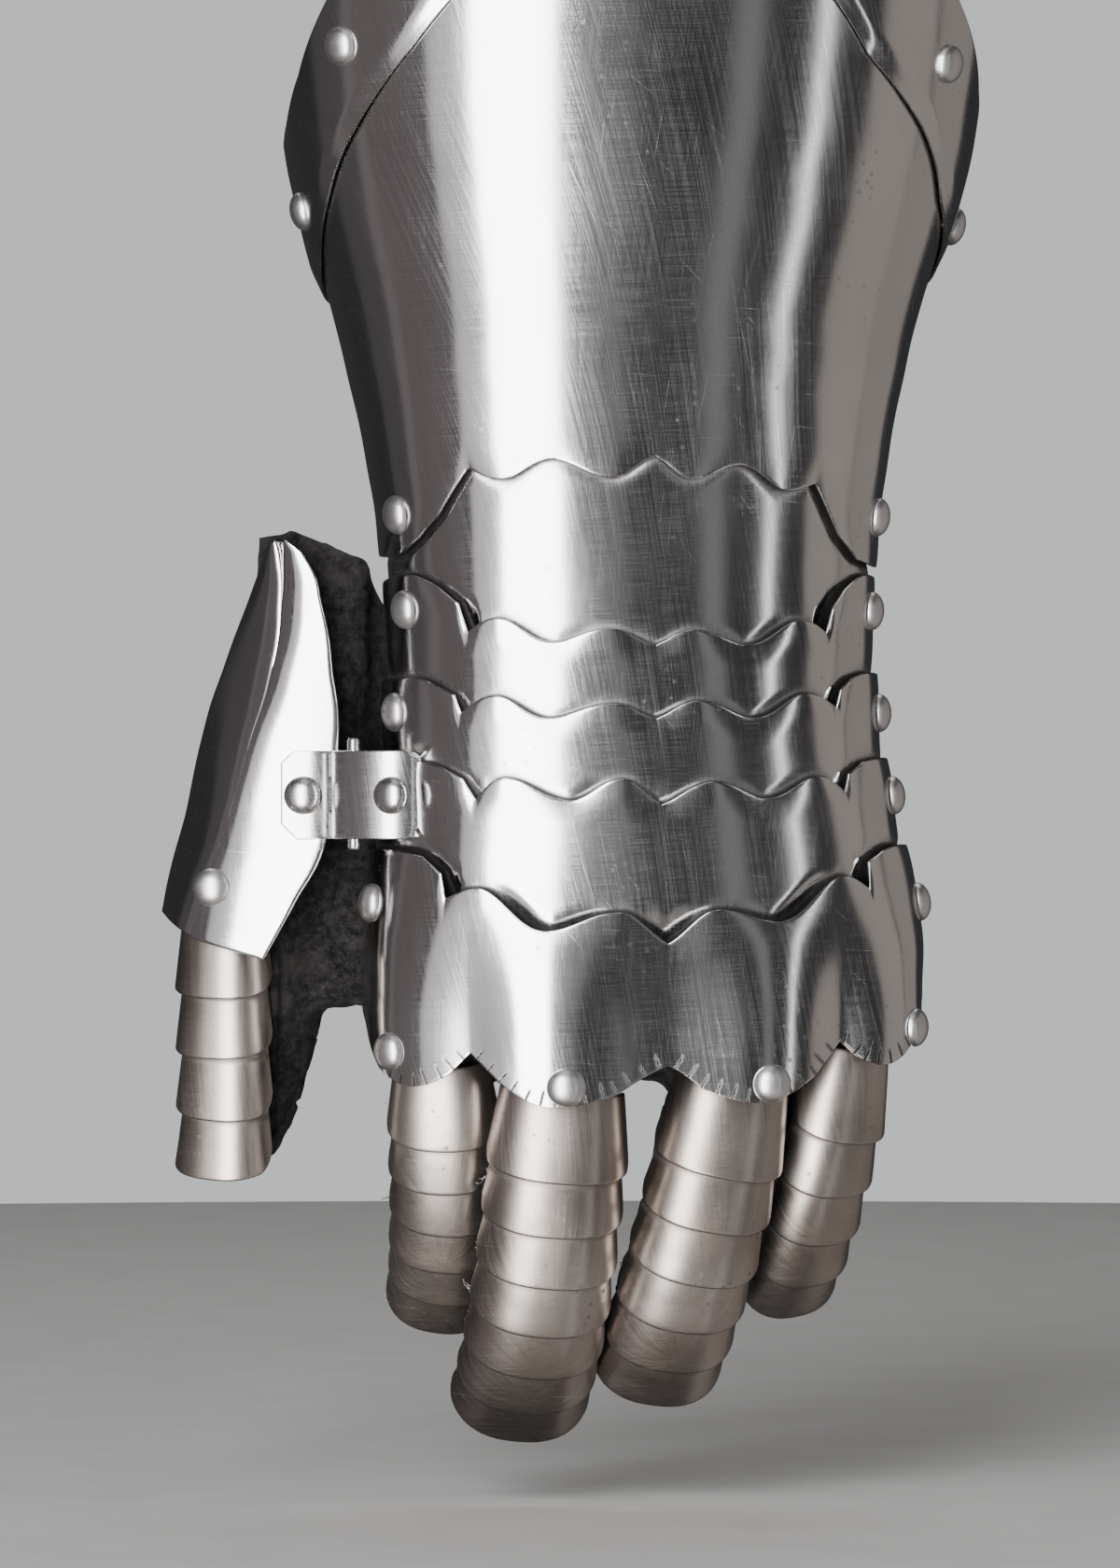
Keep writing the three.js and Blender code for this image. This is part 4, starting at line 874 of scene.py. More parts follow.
def wholeRivet(stack):
    tail = -(stack + rivetSizes["reach"])
    bottom = tail - rivetSizes["tailHeight"]
    shank, wide = rivetSizes["shank"], rivetSizes["tail"]
    profile = [(0, bottom), (wide * 0.6, bottom), (wide, bottom + rivetSizes["tailBevel"]), (wide, tail),
               (shank, tail), (shank, 0.0)]
    return lathe(profile + domeProfile(), rivetSizes["segments"])


def along(points, spot, way):
    turn = Vector((0, 0, 1)).rotation_difference(Vector(way)).to_matrix()
    return points @ np.array(turn).T + np.asarray(spot)


def placed(form, name, angle, z, raised=0.0):
    points, faces = form
    pointAt = lambda a, b: platePoint(name, a, b)
    normal = faceNormal(pointAt, np.array(float(angle)), np.array(float(z)), 1.2)
    return along(points, pointAt(float(angle), float(z)) + normal * raised, normal), faces


def makeRivets():
    for name, z, angle in pivotRivets:
        for side, word in ((-1, "thumb"), (1, "little")):
            if name == "hand_lame_3" and side < 0:
                continue  # the hinge's own rivet is there
            piece = f"{name}_rivet_{word}_side"
            points, faces = placed(wholeRivet(2.9), name, side * angle, z, -rivetSizes["seat"])
            rivetPiece(piece, points, faces, plates[name]["body"])
    for piece, angle, z in borderRivets:
        points, faces = placed(wholeRivet(3.4), "cuff_border", angle, z, -rivetSizes["seat"])
        rivetPiece(piece, points, faces, "cuff")


def rivetPiece(name, points, faces, body):
    mesh = toMesh(name, points, faces)
    giveLay(mesh, points[:, 0] + points[:, 1], points[:, 2])
    return finishPiece(name, mesh, rivetSteel, [name], body)


for plateName in plates:
    makePlate(plateName)
makeRivets()
print("plates and rivets made")


# fingers: place under the knuckle plate, section, lean to the side, turn about the finger, curl from root to
# tip with its power, and where the lames' lower edges lie down the finger
fingers = {
    "index": {"angle": -51, "inset": 2.4, "halfWidth": 10.3, "depth": 10.0, "lean": 5, "turn": -16,
              "curl": (0, 58, 0.9), "firstEdge": 25.5, "pitch": 9.6, "lames": 6},
    "middle": {"angle": -15.2, "inset": 1.6, "halfWidth": 13.0, "depth": 11.5, "lean": -4, "turn": -2,
               "curl": (0, 66, 1.5), "firstEdge": 31.0, "pitch": 10.8, "lames": 7},
    "ring": {"angle": 14, "inset": 1.6, "halfWidth": 12.2, "depth": 11.0, "lean": -11, "turn": 4,
             "curl": (0, 60, 1.4), "firstEdge": 30.5, "pitch": 11.3, "lames": 6},
    "little": {"angle": 45.5, "inset": 2.6, "halfWidth": 9.4, "depth": 9.5, "lean": -10, "turn": 22,
               "curl": (0, 64, 1.2), "firstEdge": 24.0, "pitch": 11.6, "lames": 5},
    "thumb": {"root": (-77.0, -0.8, -68.5), "halfWidth": 9.0, "depth": 9.0, "lean": 1, "turn": -28,
              "curl": (2, 14, 1.4), "firstEdge": 16.5, "pitch": 12.0, "lames": 4},
}
fingerForms = {"top": -89.0, "steps": 24, "farthest": 1.1, "square": 2 / 2.4}
lameShape = {
    "reach": 84.0, "corner": 4.4, "smile": 2.0, "smilePower": 2.2, "tuck": 6.6, "columns": 46, "rows": 20,
    "insets": (0, 0.06, 0.2, 0.45, 0.9, 1.6, 2.4, 3.4), "lowRows": 5, "topRows": (1.0, 0.45, 0.2, 0.06, 0),
    "edgeRadius": 0.36, "wobble": 0.35, "bell": (-0.1, 0.25), "bellFrom": 6, "fuller": 1.12,
}
# edge wear, and painted shade beside the lap of the lame above: strength and width of each
lameWearAndShade = {"edge": 0.5, "edgeWidth": 0.4, "seamShade": 0.6, "seamWidth": 0.6}


def fingerPoint(name, distance, angle, lift, palm):
    finger = fingers[name]
    distance, angle, lift = np.broadcast_arrays(*[np.asarray(k, float) for k in (distance, angle, lift)])
    start, end, power = finger["curl"]
    length = finger["firstEdge"] + finger["pitch"] * (finger["lames"] - 1)
    lean, turned = math.radians(finger["lean"]), math.radians(finger["turn"])
    root = (np.array(finger["root"]) if "root" in finger
            else bodyPoint(finger["angle"], fingerForms["top"], -finger["inset"]))
    steps = fingerForms["steps"]
    s = np.maximum(distance, 0)[..., None] * np.arange(steps + 1) / steps
    tilt = np.radians(start + (end - start) * np.minimum(s / length, fingerForms["farthest"]) ** power)
    down = np.stack([math.sin(lean) * np.cos(tilt), np.sin(tilt), -math.cos(lean) * np.cos(tilt)], axis=-1)
    point = root + down[..., :-1, :].sum(axis=-2) * (np.maximum(distance, 0) / steps)[..., None]
    last = down[..., -1, :]
    point = point + last * np.minimum(distance, 0)[..., None]
    side = np.array([math.cos(lean), 0, math.sin(lean)])
    out = unit(np.cross(last, side))
    turnedSide = side * math.cos(turned) - out * math.sin(turned)
    turnedOut = out * math.cos(turned) + side * math.sin(turned)
    axis = point - out * finger["depth"]
    around = np.radians(angle)
    depth = np.where(np.abs(angle) <= 90, finger["depth"], palm) + lift
    across = (finger["halfWidth"] + lift) * signedPower(np.sin(around), fingerForms["square"])
    outwards = depth * signedPower(np.cos(around), fingerForms["square"])
    return axis + turnedSide * across[..., None] + turnedOut * outwards[..., None]


def makeLame(name, k):
    finger, shape = fingers[name], lameShape
    rng = np.random.default_rng(len(name) * 31 + k * 7)
    lower = finger["firstEdge"] + finger["pitch"] * k
    upper = lower - finger["pitch"] - shape["tuck"]
    reach, corner = shape["reach"], shape["corner"] * rng.uniform(0.85, 1.15)
    insets = np.array(shape["insets"])
    perDegree = finger["halfWidth"] * math.pi / 180 * shape["fuller"]
    ends = insets / perDegree
    middle = np.linspace(-reach + ends[-1], reach - ends[-1], shape["columns"])[1:-1]
    angles = np.concatenate([-reach + ends, middle, (reach - ends)[::-1]])
    toSide = (reach - np.abs(angles)) * perDegree
    dip = np.clip(corner - toSide, 0, corner)
    cut = corner - np.sqrt(np.maximum(corner ** 2 - dip ** 2, 0))
    wobble = rng.uniform(-shape["wobble"], shape["wobble"]) * np.sin(
        np.radians(angles) * rng.uniform(0.8, 1.4) + rng.uniform(-1, 1))
    low = lower - cut + wobble - shape["smile"] * (np.abs(angles) / reach) ** shape["smilePower"]
    span = low - upper
    nearRim, first = insets[:shape["lowRows"]], insets[shape["lowRows"]]
    last, *nearTop = shape["topRows"]
    between = first + (span - first - last) * np.linspace(0, 1, shape["rows"])[:, None]
    down = np.concatenate([nearRim[:, None] + 0 * span, between, span[None] - np.array(nearTop)[:, None]]).T
    distance = low[:, None] - down
    u = np.repeat(angles[:, None], distance.shape[1], axis=1)
    toEdge = np.minimum(np.minimum(down, span[:, None] - down), toSide[:, None])
    bell = rng.uniform(*shape["bell"])

    def pointDown(a, s):
        lift = sizes["fingerLayer"] * (1 - (lower + s) / finger["pitch"])
        lift = lift + bell * np.cos(np.radians(a)) * smoothstep(-s, lower - shape["bellFrom"], lower)
        return fingerPoint(name, -s, a, lift, 0.0)

    points, quads = sheetSolid(pointDown, u, -distance, toEdge, sizes["fingerSteel"], shape["edgeRadius"])
    label = f"{name}_lame_{k + 1}"
    mesh = toMesh(label, points, quads)
    hiddenBy = lower - finger["pitch"]
    giveMask(mesh, "worn", lameWearAndShade["edge"] * edgeFalloff(toEdge, lameWearAndShade["edgeWidth"]))
    # painted shade along the line where the lame above laps over this one
    shadeAndPits = lameWearAndShade["seamShade"] * edgeFalloff(distance - hiddenBy, lameWearAndShade["seamWidth"])
    giveMask(mesh, "paintedShade", shadeAndPits if k else 0)
    middle = points.mean(axis=0)
    turned = np.degrees(np.arctan2(points[:, 0] - middle[0], middle[1] - points[:, 1]))
    giveLay(mesh, turned * perDegree + 50 * k, points[:, 2] + 30 * len(name))
    body = "thumb" if name == "thumb" else "knuckles"
    return finishPiece(label, mesh, tarnishedShadedLameSteel, [label], body)


for fingerName, finger in fingers.items():
    for k in range(finger["lames"]):
        makeLame(fingerName, k)
print("finger lames made")


# thumb plate: height, then x and y of its hand-side edge, ridge and outer edge
thumbPlateRows = [
    (3.4, -66.3, -0.3, -68.2, 0.2, -69.6, 2.2), (0, -62.7, -1.5, -68.4, -0.2, -70.6, 5.6),
    (-8, -59.8, -2.6, -68.6, -0.6, -73.2, 10.5), (-22, -57.6, -3.8, -70.4, -0.8, -77.8, 15.0),
    (-36, -56.6, -4.7, -74.4, -0.6, -81.6, 17.6), (-54, -58.8, -5.4, -79.4, -0.8, -84.8, 19.0),
    (-66, -64.6, -5.6, -83.6, -1.2, -87.6, 18.0), (-77.5, -70.8, -4.6, -86.6, -0.6, -89.6, 16.0),
]
# twist: height, and how far the hand's side of the plate is bent forward there
thumbPlate = {
    "lowerRise": 9.0, "ridgeSoftness": 0.12, "rivetAcross": -0.14, "rivetZ": -66.5,
    "rivetWay": (-0.30, -0.95, 0.0), "rivetStack": 3.2, "crown": 0.3, "shoulder": 1.8, "handPower": 3.4,
    "farPower": 4.0, "edgeRadius": 0.42, "sideInsets": (0, 0.012, 0.035, 0.08),
    "endInsets": (0, 0.08, 0.25, 0.6), "columns": 73, "rows": 90, "width": 13, "ridgeWear": 0.55,
    "ridgeBand": 0.05, "edgeBand": 0.5,
    "twist": [(3, 1.3), (-10, 1.2), (-24, 0.0), (-46, 0.0), (-60, 1.6), (-78, 2.0)],
}


def thumbPlatePoint(across, z):
    columns = [columnAt(thumbPlateRows, k, z) for k in range(1, 7)]
    near, ridge, far = [np.stack(columns[k:k + 2], axis=-1) for k in (0, 2, 4)]
    soft = thumbPlate["ridgeSoftness"]
    bent = np.sqrt(across ** 2 + soft ** 2) - soft * np.exp(-(across ** 2))
    nearShare, farShare = np.maximum(bent - across, 0) / 2, np.maximum(bent + across, 0) / 2
    spot = ridge + (near - ridge) * nearShare[..., None] + (far - ridge) * farShare[..., None]
    nearWay, farWay = unit(ridge - near), unit(far - ridge)
    facet = np.where((across < 0)[..., None], nearWay, farWay)
    away = np.clip(np.abs(across), 0, 1)
    crown = thumbPlate["crown"] * np.sin(math.pi * away)
    spot = spot - np.stack([facet[..., 1], -facet[..., 0]], axis=-1) * crown[..., None]
    # the steel is hammered round at the ridge, gently on the hand's side and sharply on the other
    middle = unit(nearWay + farWay)
    sunk = thumbPlate["shoulder"] * (1 - away) ** np.where(
        across < 0, thumbPlate["handPower"], thumbPlate["farPower"])
    twist = columnAt(thumbPlate["twist"], 1, z) * np.where(across < 0, away, 0)
    spot = spot - np.stack([facet[..., 1], -facet[..., 0]], axis=-1) * twist[..., None]
    spot = spot + np.stack([middle[..., 1], -middle[..., 0]], axis=-1) * sunk[..., None]
    top, bottom = thumbPlateRows[0][0], thumbPlateRows[-1][0]
    down = (z - top) / (bottom - top)
    rise = thumbPlate["lowerRise"] * down * down * (across + 1) / 2
    return np.stack([spot[..., 0], spot[..., 1], z + rise], axis=-1)


def makeThumbPlate():
    inset, ends = np.array(thumbPlate["sideInsets"]), np.array(thumbPlate["endInsets"])
    middle = np.linspace(-0.9, 0.9, thumbPlate["columns"])
    across = np.concatenate([-1 + inset, middle, (1 - inset)[::-1]])
    top, bottom = thumbPlateRows[0][0], thumbPlateRows[-1][0]
    between = np.linspace(bottom + 1.2, top - 1.2, thumbPlate["rows"])
    z = np.concatenate([bottom + ends, between, (top - ends)[::-1]])
    a, v = np.meshgrid(-across, z, indexing="ij")
    toSide = np.minimum(1 - np.abs(a), 1) * thumbPlate["width"]
    toEdge = np.minimum(np.minimum(v - bottom, top - v), toSide)
    acrossWay = thumbPlatePoint(a + 0.02, v) - thumbPlatePoint(a - 0.02, v)
    upWay = thumbPlatePoint(a, v + 0.3) - thumbPlatePoint(a, v - 0.3)
    normal = unit(np.cross(upWay, acrossWay))
    outer = thumbPlatePoint(a, v)
    points, quads = sheetFrom(outer, normal, toEdge, sizes["steel"], thumbPlate["edgeRadius"])
    mesh = toMesh("thumb_plate", points, quads)
    ridge = thumbPlate["ridgeWear"] * edgeFalloff(a, thumbPlate["ridgeBand"])
    giveMask(mesh, "worn", np.maximum(edgeFalloff(toEdge, thumbPlate["edgeBand"]), ridge))
    giveMask(mesh, "paintedShade", 0)
    giveLay(mesh, points[:, 0] - points[:, 1], points[:, 2])
    return finishPiece("thumb_plate", mesh, plateSteel, ["thumb_plate"], "thumb", 50)


def seatedRivet(stack, seat, way, raised):
    # a rivet through a stack of sheets, its head just in the face that it sits on
    way = unit(np.array(way))
    points, faces = wholeRivet(stack)
    return along(points, np.asarray(seat) - way * raised, way), faces


def makeThumbRivet():
    spot = thumbPlatePoint(np.array(thumbPlate["rivetAcross"]), np.array(thumbPlate["rivetZ"]))
    form = seatedRivet(thumbPlate["rivetStack"], spot, thumbPlate["rivetWay"], 0.1)
    rivetPiece("thumb_rivet", *form, "thumb")


makeThumbPlate()
makeThumbRivet()
print("thumb plate made")


# thumb hinge
hinge = {
    "pin": (-54.5, -9.4), "pinRadius": 1.2, "pinBevel": (0.3, 0.4), "pinTop": -34.8, "pinBottom": -56.2,
    "top": -37.2, "bottom": -54.2, "roll": 3.5, "sheet": 0.78, "knuckle": 5.2, "gap": 0.5, "rivetZ": -45.8,
    "chamfer": 3.0, "seat": 0.05, "dull": 0.5, "worn": 0.1, "edgeRadius": 0.28,
}
# the hand's leaf is folded double: the inner layer starts further back, lies against the outer, and is
# smaller
handLeaf = {
    "layerShift": 1.5, "layerGap": 0.06, "layerChamfer": 0.4, "layerInset": 0.25, "topChamfer": 0.55,
    "rollTurns": (196, -30, 60), "rivet": (-48.6, -19.9), "rivetWay": (-0.66, -0.75, 0.0), "rivetStack": 6.0,
}
# outer face of the hand's leaf in plan, from its end on the lame to the roll round the pin
handLeafPlan = [
    (-43.0, -19.2), (-43.9, -19.7), (-44.8, -20.15), (-46.0, -20.25), (-47.4, -20.2), (-48.8, -19.9),
    (-50.3, -19.3), (-51.8, -18.5), (-53.2, -17.5), (-54.6, -16.2), (-55.8, -14.8), (-56.9, -13.2),
    (-57.7, -11.5), (-58.0, -9.7), (-57.8, -8.1),
]


def ribbonPiece(path, low, high, sheet):
    # strap bent along a path in plan, from low to high, with a given thickness to the left of its way
    path = np.asarray(path, float)
    length = lengthAlong(path)
    total = length[-1]
    inset, rim = np.array([0, 0.05, 0.15, 0.35]), 0.7
    between = np.linspace(rim, total - rim, max(int(total / 0.5), 8))
    s = np.concatenate([inset, between, (total - inset)[::-1]])
    lowAt, highAt = low(s), high(s)
    span = highAt - lowAt
    rows = np.concatenate([inset[:, None] + 0 * span, rim + (span - 2 * rim) * np.linspace(0, 1, 16)[:, None],
                           span[None] - inset[::-1][:, None]]).T
    v = lowAt[:, None] + rows
    u = np.repeat(s[:, None], v.shape[1], axis=1)

    def pointAt(a, z):
        x, y = [np.interp(a, length, path[:, k]) for k in (0, 1)]
        return np.stack([x, y, z], axis=-1)

    toEdge = np.minimum(np.minimum(rows, span[:, None] - rows), np.minimum(s, total - s)[:, None])
    return sheetSolid(pointAt, u, v, toEdge, sheet, hinge["edgeRadius"])


def rolledEye(radius, turns, low, high, sheet):
    # a strip of a leaf rolled round the pin
    path = arc(hinge["pin"], radius, *turns)
    return ribbonPiece(path, lambda s: low + 0 * s, lambda s: high + 0 * s, sheet)


def arc(centre, radius, start, end, steps):
    turns = np.radians(np.linspace(start, end, steps))
    return [(centre[0] + radius * math.cos(t), centre[1] + radius * math.sin(t)) for t in turns]


def smoothPath(points, perPoint, passes=90):
    # rounded path through a few points in plan
    points = np.asarray(points, float)
    length = lengthAlong(points)
    fine = np.linspace(0, length[-1], perPoint * len(points))
    path = np.stack([np.interp(fine, length, points[:, k]) for k in (0, 1)], axis=-1)
    for _ in range(passes):
        path[1:-1] = (path[:-2] + 2 * path[1:-1] + path[2:]) / 4
    return path


def leafPiece(name, parts, body):
    points, faces = joined(parts)
    mesh = toMesh(name, points, faces)
    for label, amount in (("worn", hinge["worn"]), ("paintedShade", 0), ("dull", hinge["dull"])):
        giveMask(mesh, label, amount)
    giveLay(mesh, points[:, 0] - points[:, 1], points[:, 2])
    return finishPiece(name, mesh, plateSteel, [name], body)


def makeHandLeaf():
    bottom, top = hinge["bottom"], hinge["top"]
    outer = smoothPath(handLeafPlan, 14)
    way = unit(np.gradient(outer, axis=0))
    across = np.stack([way[:, 1], -way[:, 0]], axis=-1) * (hinge["sheet"] + handLeaf["layerGap"])
    folded = np.concatenate([outer[:1] - way[:1] * handLeaf["layerShift"], outer])
    folded = folded + np.concatenate([across[:1], across])
    parts = []
    for path, inner in ((outer, 0), (folded, 1)):
        cut = hinge["chamfer"] - handLeaf["layerChamfer"] * inner
        smaller = handLeaf["layerInset"] * inner
        lowAt = lambda s: bottom + smaller + np.clip(cut - s, 0, cut)
        highAt = lambda s: top - smaller - np.clip((cut - s) * handLeaf["topChamfer"], 0, cut)
        parts.append(ribbonPiece(path, lowAt, highAt, hinge["sheet"]))
    for low in (bottom, top - hinge["knuckle"]):
        high = low + hinge["knuckle"]
        parts.append(rolledEye(hinge["roll"], handLeaf["rollTurns"], low, high, hinge["sheet"]))
    radius, (narrow, short) = hinge["pinRadius"], hinge["pinBevel"]
    low, high = hinge["pinBottom"], hinge["pinTop"]
    pin = [(0, low), (radius - narrow, low), (radius, low + short), (radius, high - short),
           (radius - narrow, high), (0, high)]
    points, faces = lathe(pin, 28)
    parts.append((points + np.array([*hinge["pin"], 0]), faces))
    seat = (*handLeaf["rivet"], hinge["rivetZ"])
    parts.append(seatedRivet(handLeaf["rivetStack"], seat, handLeaf["rivetWay"], hinge["seat"]))
    leafPiece("hinge_leaf_hand", parts, "hand_3")


# the thumb's leaf lies on the thumb plate, then turns back to the pin: place across, and depth behind its
# flat part
thumbLeaf = {
    "flat": (-68.0, -66.0, -64.0, -62.2), "above": 1.55, "sheet": 1.0, "topChamfer": 0.8,
    "turn": [
        (-61.3, -0.04), (-60.5, 0.0), (-59.7, 0.07), (-58.9, 0.2), (-58.3, 0.5), (-57.9, 1.1), (-57.6, 2.2),
    ],
    "eye": 2.2, "eyeTurns": (160, -150, 50), "eyeSheet": 0.75,
    "rivet": (-63.9, -6.0), "rivetWay": (-0.24, -0.97, 0.0), "rivetStack": 3.3,
}


def makeThumbLeaf():
    bottom, top, cut = hinge["bottom"], hinge["top"], hinge["chamfer"]
    ridgeX, nearX = [columnAt(thumbPlateRows, k, hinge["rivetZ"]) for k in (3, 1)]
    xs = np.array(thumbLeaf["flat"])
    across = -(xs - ridgeX) / (nearX - ridgeX)
    front = thumbPlatePoint(across, np.full(len(xs), hinge["rivetZ"]))[:, 1] - thumbLeaf["above"]
    strap = list(zip(xs, front)) + [(x, front[-1] + back) for x, back in thumbLeaf["turn"]]
    path = smoothPath(strap[::-1], 10)
    total = lengthAlong(path)[-1]
    lowAt = lambda s: bottom + np.clip(cut - (total - s), 0, cut)
    highAt = lambda s: top - np.clip(cut * thumbLeaf["topChamfer"] - (total - s), 0, cut)
    inset = hinge["knuckle"] + hinge["gap"]
    low, high = bottom + inset, top - inset
    eye = rolledEye(thumbLeaf["eye"], thumbLeaf["eyeTurns"], low, high, thumbLeaf["eyeSheet"])
    seat = (*thumbLeaf["rivet"], hinge["rivetZ"])
    rivet = seatedRivet(thumbLeaf["rivetStack"], seat, thumbLeaf["rivetWay"], hinge["seat"])
    leafPiece("hinge_leaf_thumb", [ribbonPiece(path, lowAt, highAt, thumbLeaf["sheet"]), eye, rivet], "thumb")


makeHandLeaf()
makeThumbLeaf()
print("thumb hinge made")


# glove
glove = {
    "slack": 4.6, "slimmer": 2.4, "slimFrom": 40, "slimTo": 70, "leather": 1.6, "voxel": 1.15, "gap": 1.5,
    "palm": 8.4, "fuller": 3.1, "fullerFrom": 90, "fullerTo": 124, "top": -7.0, "smoothing": 9, "seed": 3.7,
    "thumbSeed": 8.1,
}
# rings of the forms that the skin grows on: first, last and count, then how each end closes
handRings, fingerStart, fingerRings, pastLame = (6, -94, 40), -9, 44, 0.9
fingerTip = {"length": 4.5, "turns": (20, 40, 58, 74, 86), "power": 0.6}
thumbRings, thumbTip = (9, -112, 60), (-115, -117, -118.5, -119.5)
thumbSquare = {"root": 0.62, "gain": 0.3, "from": 30, "to": 60}
panelForms = {"sides": 56, "rings": 60, "alongPower": 0.6, "throughPower": 0.8}
# folds, deep creases and small unevenness of the leather: how close they lie round and along, and how deep
creasing = {
    "fold": (0.05, 0.085, 0.55), "foldLevel": 0.35, "crease": (0.10, 0.19, 0.75), "creaseWidth": 0.16,
    "small": (0.42, 0.42, 0.16),
}
# height and how far the back of the glove lies under the lames there
gloveLevels = [
    (6, 11.2), (-6, 10.2), (-20, 8.4), (-38, 5.8), (-56, 3.2), (-74, 0.8), (-88.6, 0.3), (-96, 0.6),
]
# how the hand closes below its last ring: height and share of the ring's size
handEnd = [(-97, 0.95), (-99.5, 0.86), (-101, 0.72)]
# height, middle, half-width, half-depth and turn of the thumb's tube
thumbTube = [
    (9, -59.8, 11.4, 10.6, 7.6, 8), (-3, -60.2, 11.6, 11.0, 7.9, 8), (-15, -60.8, 11.8, 11.6, 8.5, 8),
    (-30, -62.4, 12.0, 12.6, 8.6, 8), (-48, -65.8, 12.0, 12.8, 8.4, 8), (-66, -69.0, 11.6, 13.8, 7.0, 12),
    (-84, -70.4, 12.2, 14.2, 6.2, 20), (-102, -72.2, 15.4, 12.4, 5.8, 22), (-112, -73.6, 17.4, 10.2, 5.2, 24),
    (-117, -74.6, 18.4, 8.0, 4.4, 24), (-119.5, -75.0, 18.8, 5.4, 3.2, 24),
]
# leather between thumb and hand: height, half-thickness, and both ends in plan; it folds back beside the
# lames
thumbPanel = [
    (9, 2.8, -60.2, 13.0, -49.8, 9.6), (-10, 3.0, -60.6, 13.4, -49.6, 9.6),
    (-38, 3.6, -63.6, 14.2, -48.8, 9.8), (-54, 4.2, -66.6, 14.2, -46.4, 10.4),
    (-62, 4.8, -68.2, 14.0, -44.0, 11.0), (-74, 5.2, -69.6, 14.6, -42.2, 11.2),
    (-81, 4.4, -70.2, 15.2, -45.0, 11.2), (-85.5, 3.0, -70.4, 15.4, -47.0, 11.6),
    (-87.5, 1.2, -70.6, 15.6, -49.0, 12.0),
]
panelReturn = [
    (9, 1.6, -51.2, 12.2, -38.5, 18.0), (-38, 2.2, -50.6, 12.4, -38.0, 16.0),
    (-54, 3.0, -48.6, 12.0, -38.0, 13.0), (-66, 4.0, -47.0, 11.6, -39.5, 12.0),
]
# planes that the top of the thumb and its panel end at: a place in each and the way out
thumbCuts = [
    ((-64, 0, 5.2), (0.37, 0, 0.93)), ((-64, 0, 5.2), (-0.12, 0, 0.99)), ((-51, 9.6, 0), (0.8, 0.25, 0.55)),
]
# raised seam down the front of the thumb: height and place across, then its size
thumbSeam = [(-74, -69.2), (-90, -69.0), (-108, -69.4), (-120, -70.4)]
seamForm = {"halfWidth": 1.5, "rise": 1.5, "groove": 0.5, "grooveWidth": 0.35, "start": 4}


def drawnIn(ring, share):
    middle = ring.mean(axis=0)
    return middle + (ring - middle) * share


def handForm():
    angles = np.linspace(-180, 180, 96, endpoint=False)
    rings = []
    for z in np.linspace(*handRings):
        # slimmer under the knuckle plate, where a lame's lower end sinks toward it
        slack = glove["slack"] + glove["slimmer"] * smoothstep(-z, glove["slimFrom"], glove["slimTo"])
        ring = bodyPoint(angles, z, -slack)
        depth = columnAt(bodyRows, 2, z) - slack
        sunk = columnAt(gloveLevels, 1, z)
        ring[:, 1] = np.where(ring[:, 1] < 0, ring[:, 1] * (depth - sunk) / depth, ring[:, 1])
        rings.append(ring)
    last = rings[-1]
    for z, share in handEnd:
        drawn = drawnIn(last, share)
        drawn[:, 2] = z
        rings.append(drawn)
    return closedTube(rings)


def fingerForm(name):
    finger, tip = fingers[name], fingerTip["length"]
    angles = np.linspace(-180, 180, 48, endpoint=False)
    end = finger["firstEdge"] + finger["pitch"] * (finger["lames"] - 1) + pastLame
    fuller = glove["fuller"] * smoothstep(np.abs(angles), glove["fullerFrom"], glove["fullerTo"])
    lift = -(sizes["fingerSteel"] + glove["gap"]) + fuller
    distances = np.linspace(fingerStart, end - tip, fingerRings)
    rings = [fingerPoint(name, d, angles, lift, glove["palm"]) for d in distances]
    for turn in np.radians(fingerTip["turns"]):
        ring = fingerPoint(name, end - tip + tip * math.sin(turn), angles, lift, glove["palm"])
        rings.append(drawnIn(ring, math.cos(turn) ** fingerTip["power"]))
    return closedTube(rings)


def thumbForm():
    around = np.linspace(0, 2 * math.pi, 56, endpoint=False)
    rings = []
    for z in np.concatenate([np.linspace(*thumbRings), thumbTip]):
        x, y, reach, depth, slant = [columnAt(thumbTube, k, z) for k in (1, 2, 3, 4, 5)]
        slant = math.radians(slant)
        rising = smoothstep(-z, thumbSquare["from"], thumbSquare["to"])
        square = thumbSquare["root"] + thumbSquare["gain"] * rising
        across = reach * signedPower(np.cos(around), square)
        outwards = depth * signedPower(np.sin(around), square)
        ringX = x + across * math.cos(slant) - outwards * math.sin(slant)
        ringY = y + across * math.sin(slant) + outwards * math.cos(slant)
        rings.append(np.stack([ringX, ringY, np.full(len(around), float(z))], axis=-1))
    return closedTube(rings)


def panelForm(rows):
    around = np.linspace(0, 2 * math.pi, panelForms["sides"], endpoint=False)
    rings = []
    for z in np.linspace(rows[0][0], rows[-1][0], panelForms["rings"]):
        half, nearX, nearY, farX, farY = [columnAt(rows, k, z) for k in range(1, 6)]
        middle = np.array([(nearX + farX) / 2, (nearY + farY) / 2])
        way = np.array([farX - nearX, farY - nearY]) / 2
        side = np.array([-way[1], way[0]]) / np.linalg.norm(way) * half
        spot = (middle + way * signedPower(np.cos(around), panelForms["alongPower"])[:, None]
                + side * signedPower(np.sin(around), panelForms["throughPower"])[:, None])
        rings.append(np.concatenate([spot, np.full((len(around), 1), z)], axis=1))
    return closedTube(rings)


def applied(name, mesh, modifiers):
    # the mesh as a list of modifiers leaves it
    carrier = bpy.data.objects.new(name, mesh)
    bpy.context.scene.collection.objects.link(carrier)
    for kind, settings in modifiers:
        modifier = carrier.modifiers.new(kind, kind)
        for key, value in settings.items():
            setattr(modifier, key, value)
    bpy.context.view_layer.update()
    made = bpy.data.meshes.new_from_object(carrier.evaluated_get(bpy.context.evaluated_depsgraph_get()))
    bpy.data.objects.remove(carrier)
    return made


